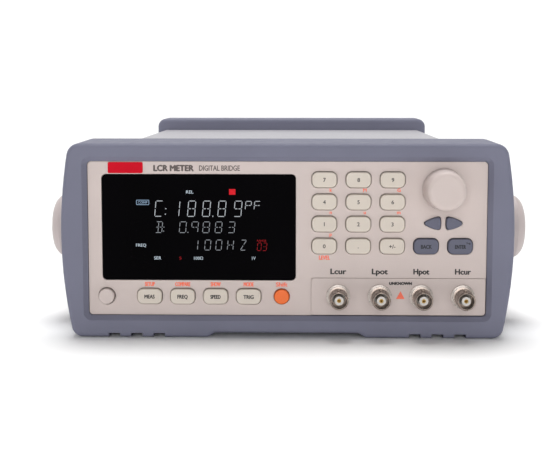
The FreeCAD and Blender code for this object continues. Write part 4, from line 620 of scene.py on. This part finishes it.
def light_display():
    """Four rows of segments, and the small lit words round them."""
    reading("reading_main",
            [("C", 0.1), (":", 5.7), ("1", 9.1), ("8", 17.5), ("8", 25.4), (".", 31.0), ("8", 33.6),
             ("9", 42.1)],
            (27.9, 34.1), (3.8, 8.2), 0.38, 0.26, GLOW_WHITE)
    reading("reading_unit", [("P", 0), ("F", 4.7)], (76.1, 37.8), (3.0, 4.4), 0.32, 0.16, GLOW_WHITE)
    reading("reading_second",
            [("D", -0.6), (":", 3.7), ("0", 12.1), (".", 16.7), ("q", 18.5), ("8", 24.5), ("8", 31.1),
             ("3", 37.9)],
            (28.9, 25.4), (3.4, 5.8), 0.29, 0.30, GLOW_SECOND)
    reading("reading_third", [("1", -3.6), ("0", 3.2), ("0", 9.1), ("H", 15.3), ("Z", 22.2)],
            (51.2, 16.1), (3.0, 5.4), 0.29, 0.30, GLOW_SECOND)
    reading("reading_range", [("0", 0), ("3", 2.9)], (82.4, 15.9), (2.0, 4.1), 0.24, 0.20, GLOW_DIM_RED)
    window_text("word_rel", "REL", 44.8, 48.7, 46.3, 47.9, GLOW_SMALL)
    window_text("word_comp", "COMP", 19.2, 24.2, 40.8, 42.1, GLOW_BLUE)
    window_box("box_comp", 18.4, 25.0, 40.3, 42.7, 0.26, GLOW_BLUE)
    window_text("word_freq", "FREQ", 17.9, 23.3, 17.5, 19.4, GLOW_SMALL)
    window_text("word_ser", "SER", 27.5, 31.3, 10.9, 12.6, GLOW_SMALL)
    window_text("word_slow", "S", 41.0, 42.1, 11.0, 12.5, GLOW_DIM_RED)
    window_text("word_ohm", "100Ω", 48.8, 53.6, 10.9, 12.6, GLOW_SMALL)
    window_text("word_volt", "1V", 79.7, 81.6, 10.9, 12.6, GLOW_SMALL)
    window_text("word_range", "RANGE", 82.4, 87.2, 20.7, 21.7, GLOW_DIM_RED)
    square = rounded_outline(WINDOW_LOW.x + 67.6 * MM, WINDOW_LOW.x + 71.0 * MM, WINDOW_LOW.z + 45.7 * MM,
                             WINDOW_LOW.z + 48.7 * MM, 0.2 * MM, 2)
    outline_plate("red_square", square, WINDOW_LOW.y, PRINT_RISE, PRINT_DEPTH, "meter", GLOW_RED)


# ---- studio -----------------------------------------------------------------------------------------------

FLOOR_HALF = 30.0        # metres
FLOOR_DROP = 0.0002      # below the feet, so that the two don't flicker


def make_floor():
    mesh = bpy.data.meshes.new("floor")
    half = FLOOR_HALF
    corners = [(-half, -half, 0), (half, -half, 0), (half, half, 0), (-half, half, 0)]
    mesh.from_pydata(corners, [], [(0, 1, 2, 3)])
    floor = bpy.data.objects.new("floor", mesh)
    floor.location.z = -FLOOR_DROP
    bpy.context.scene.collection.objects.link(floor)
    s = Shader("floor_white")
    s.tint(s.noise(900.0, 2.0), (0.97, 0.97, 0.97), (0.99, 0.99, 0.99))
    s.surface.inputs["Roughness"].default_value = 0.6
    s.surface.inputs["Specular IOR Level"].default_value = 0.1
    mesh.materials.append(s.material)


def make_world():
    """White round the object, grayer overhead and on the camera's own side."""
    world = bpy.data.worlds.new("studio")
    bpy.context.scene.world = world
    world.use_nodes = True
    tree = world.node_tree
    background = tree.nodes["Background"]
    split = tree.nodes.new("ShaderNodeSeparateXYZ")
    place = tree.nodes.new("ShaderNodeTexCoord").outputs["Generated"]
    tree.links.new(place, split.inputs[0])
    parts = []
    for axis, start, end, first, last in (("Y", -0.35, 0.35, 0.20, 1.0), ("Z", 0.22, 0.75, 1.0, 0.30)):
        span = tree.nodes.new("ShaderNodeMapRange")
        span.inputs["From Min"].default_value = start
        span.inputs["From Max"].default_value = end
        span.inputs["To Min"].default_value = first
        span.inputs["To Max"].default_value = last
        tree.links.new(split.outputs[axis], span.inputs["Value"])
        parts.append(span.outputs["Result"])
    product = tree.nodes.new("ShaderNodeMath")
    product.operation = "MULTIPLY"
    tree.links.new(parts[0], product.inputs[0])
    tree.links.new(parts[1], product.inputs[1])
    tree.links.new(product.outputs[0], background.inputs["Color"])
    background.inputs["Strength"].default_value = 1.1


def add_sun(name, direction, strength, spread):
    """Sunlight along a direction, soft over a disc of spread degrees."""
    data = bpy.data.lights.new(name, "SUN")
    data.energy = strength
    data.angle = math.radians(spread)
    sun = bpy.data.objects.new(name, data)
    bpy.context.scene.collection.objects.link(sun)
    sun.rotation_mode = "QUATERNION"
    sun.rotation_quaternion = Vector(direction).to_track_quat("-Z", "Y")


set_colours()
make_camera()
finish_cad_nodes()
print_keys()
print_panel()
print_terminals()
print_title()
light_display()
make_floor()
make_world()
add_sun("overhead", (0.02, -0.20, -1.0), 2.5, 30)
add_sun("front_fill", (0.02, 1.0, -0.22), 1.45, 45)
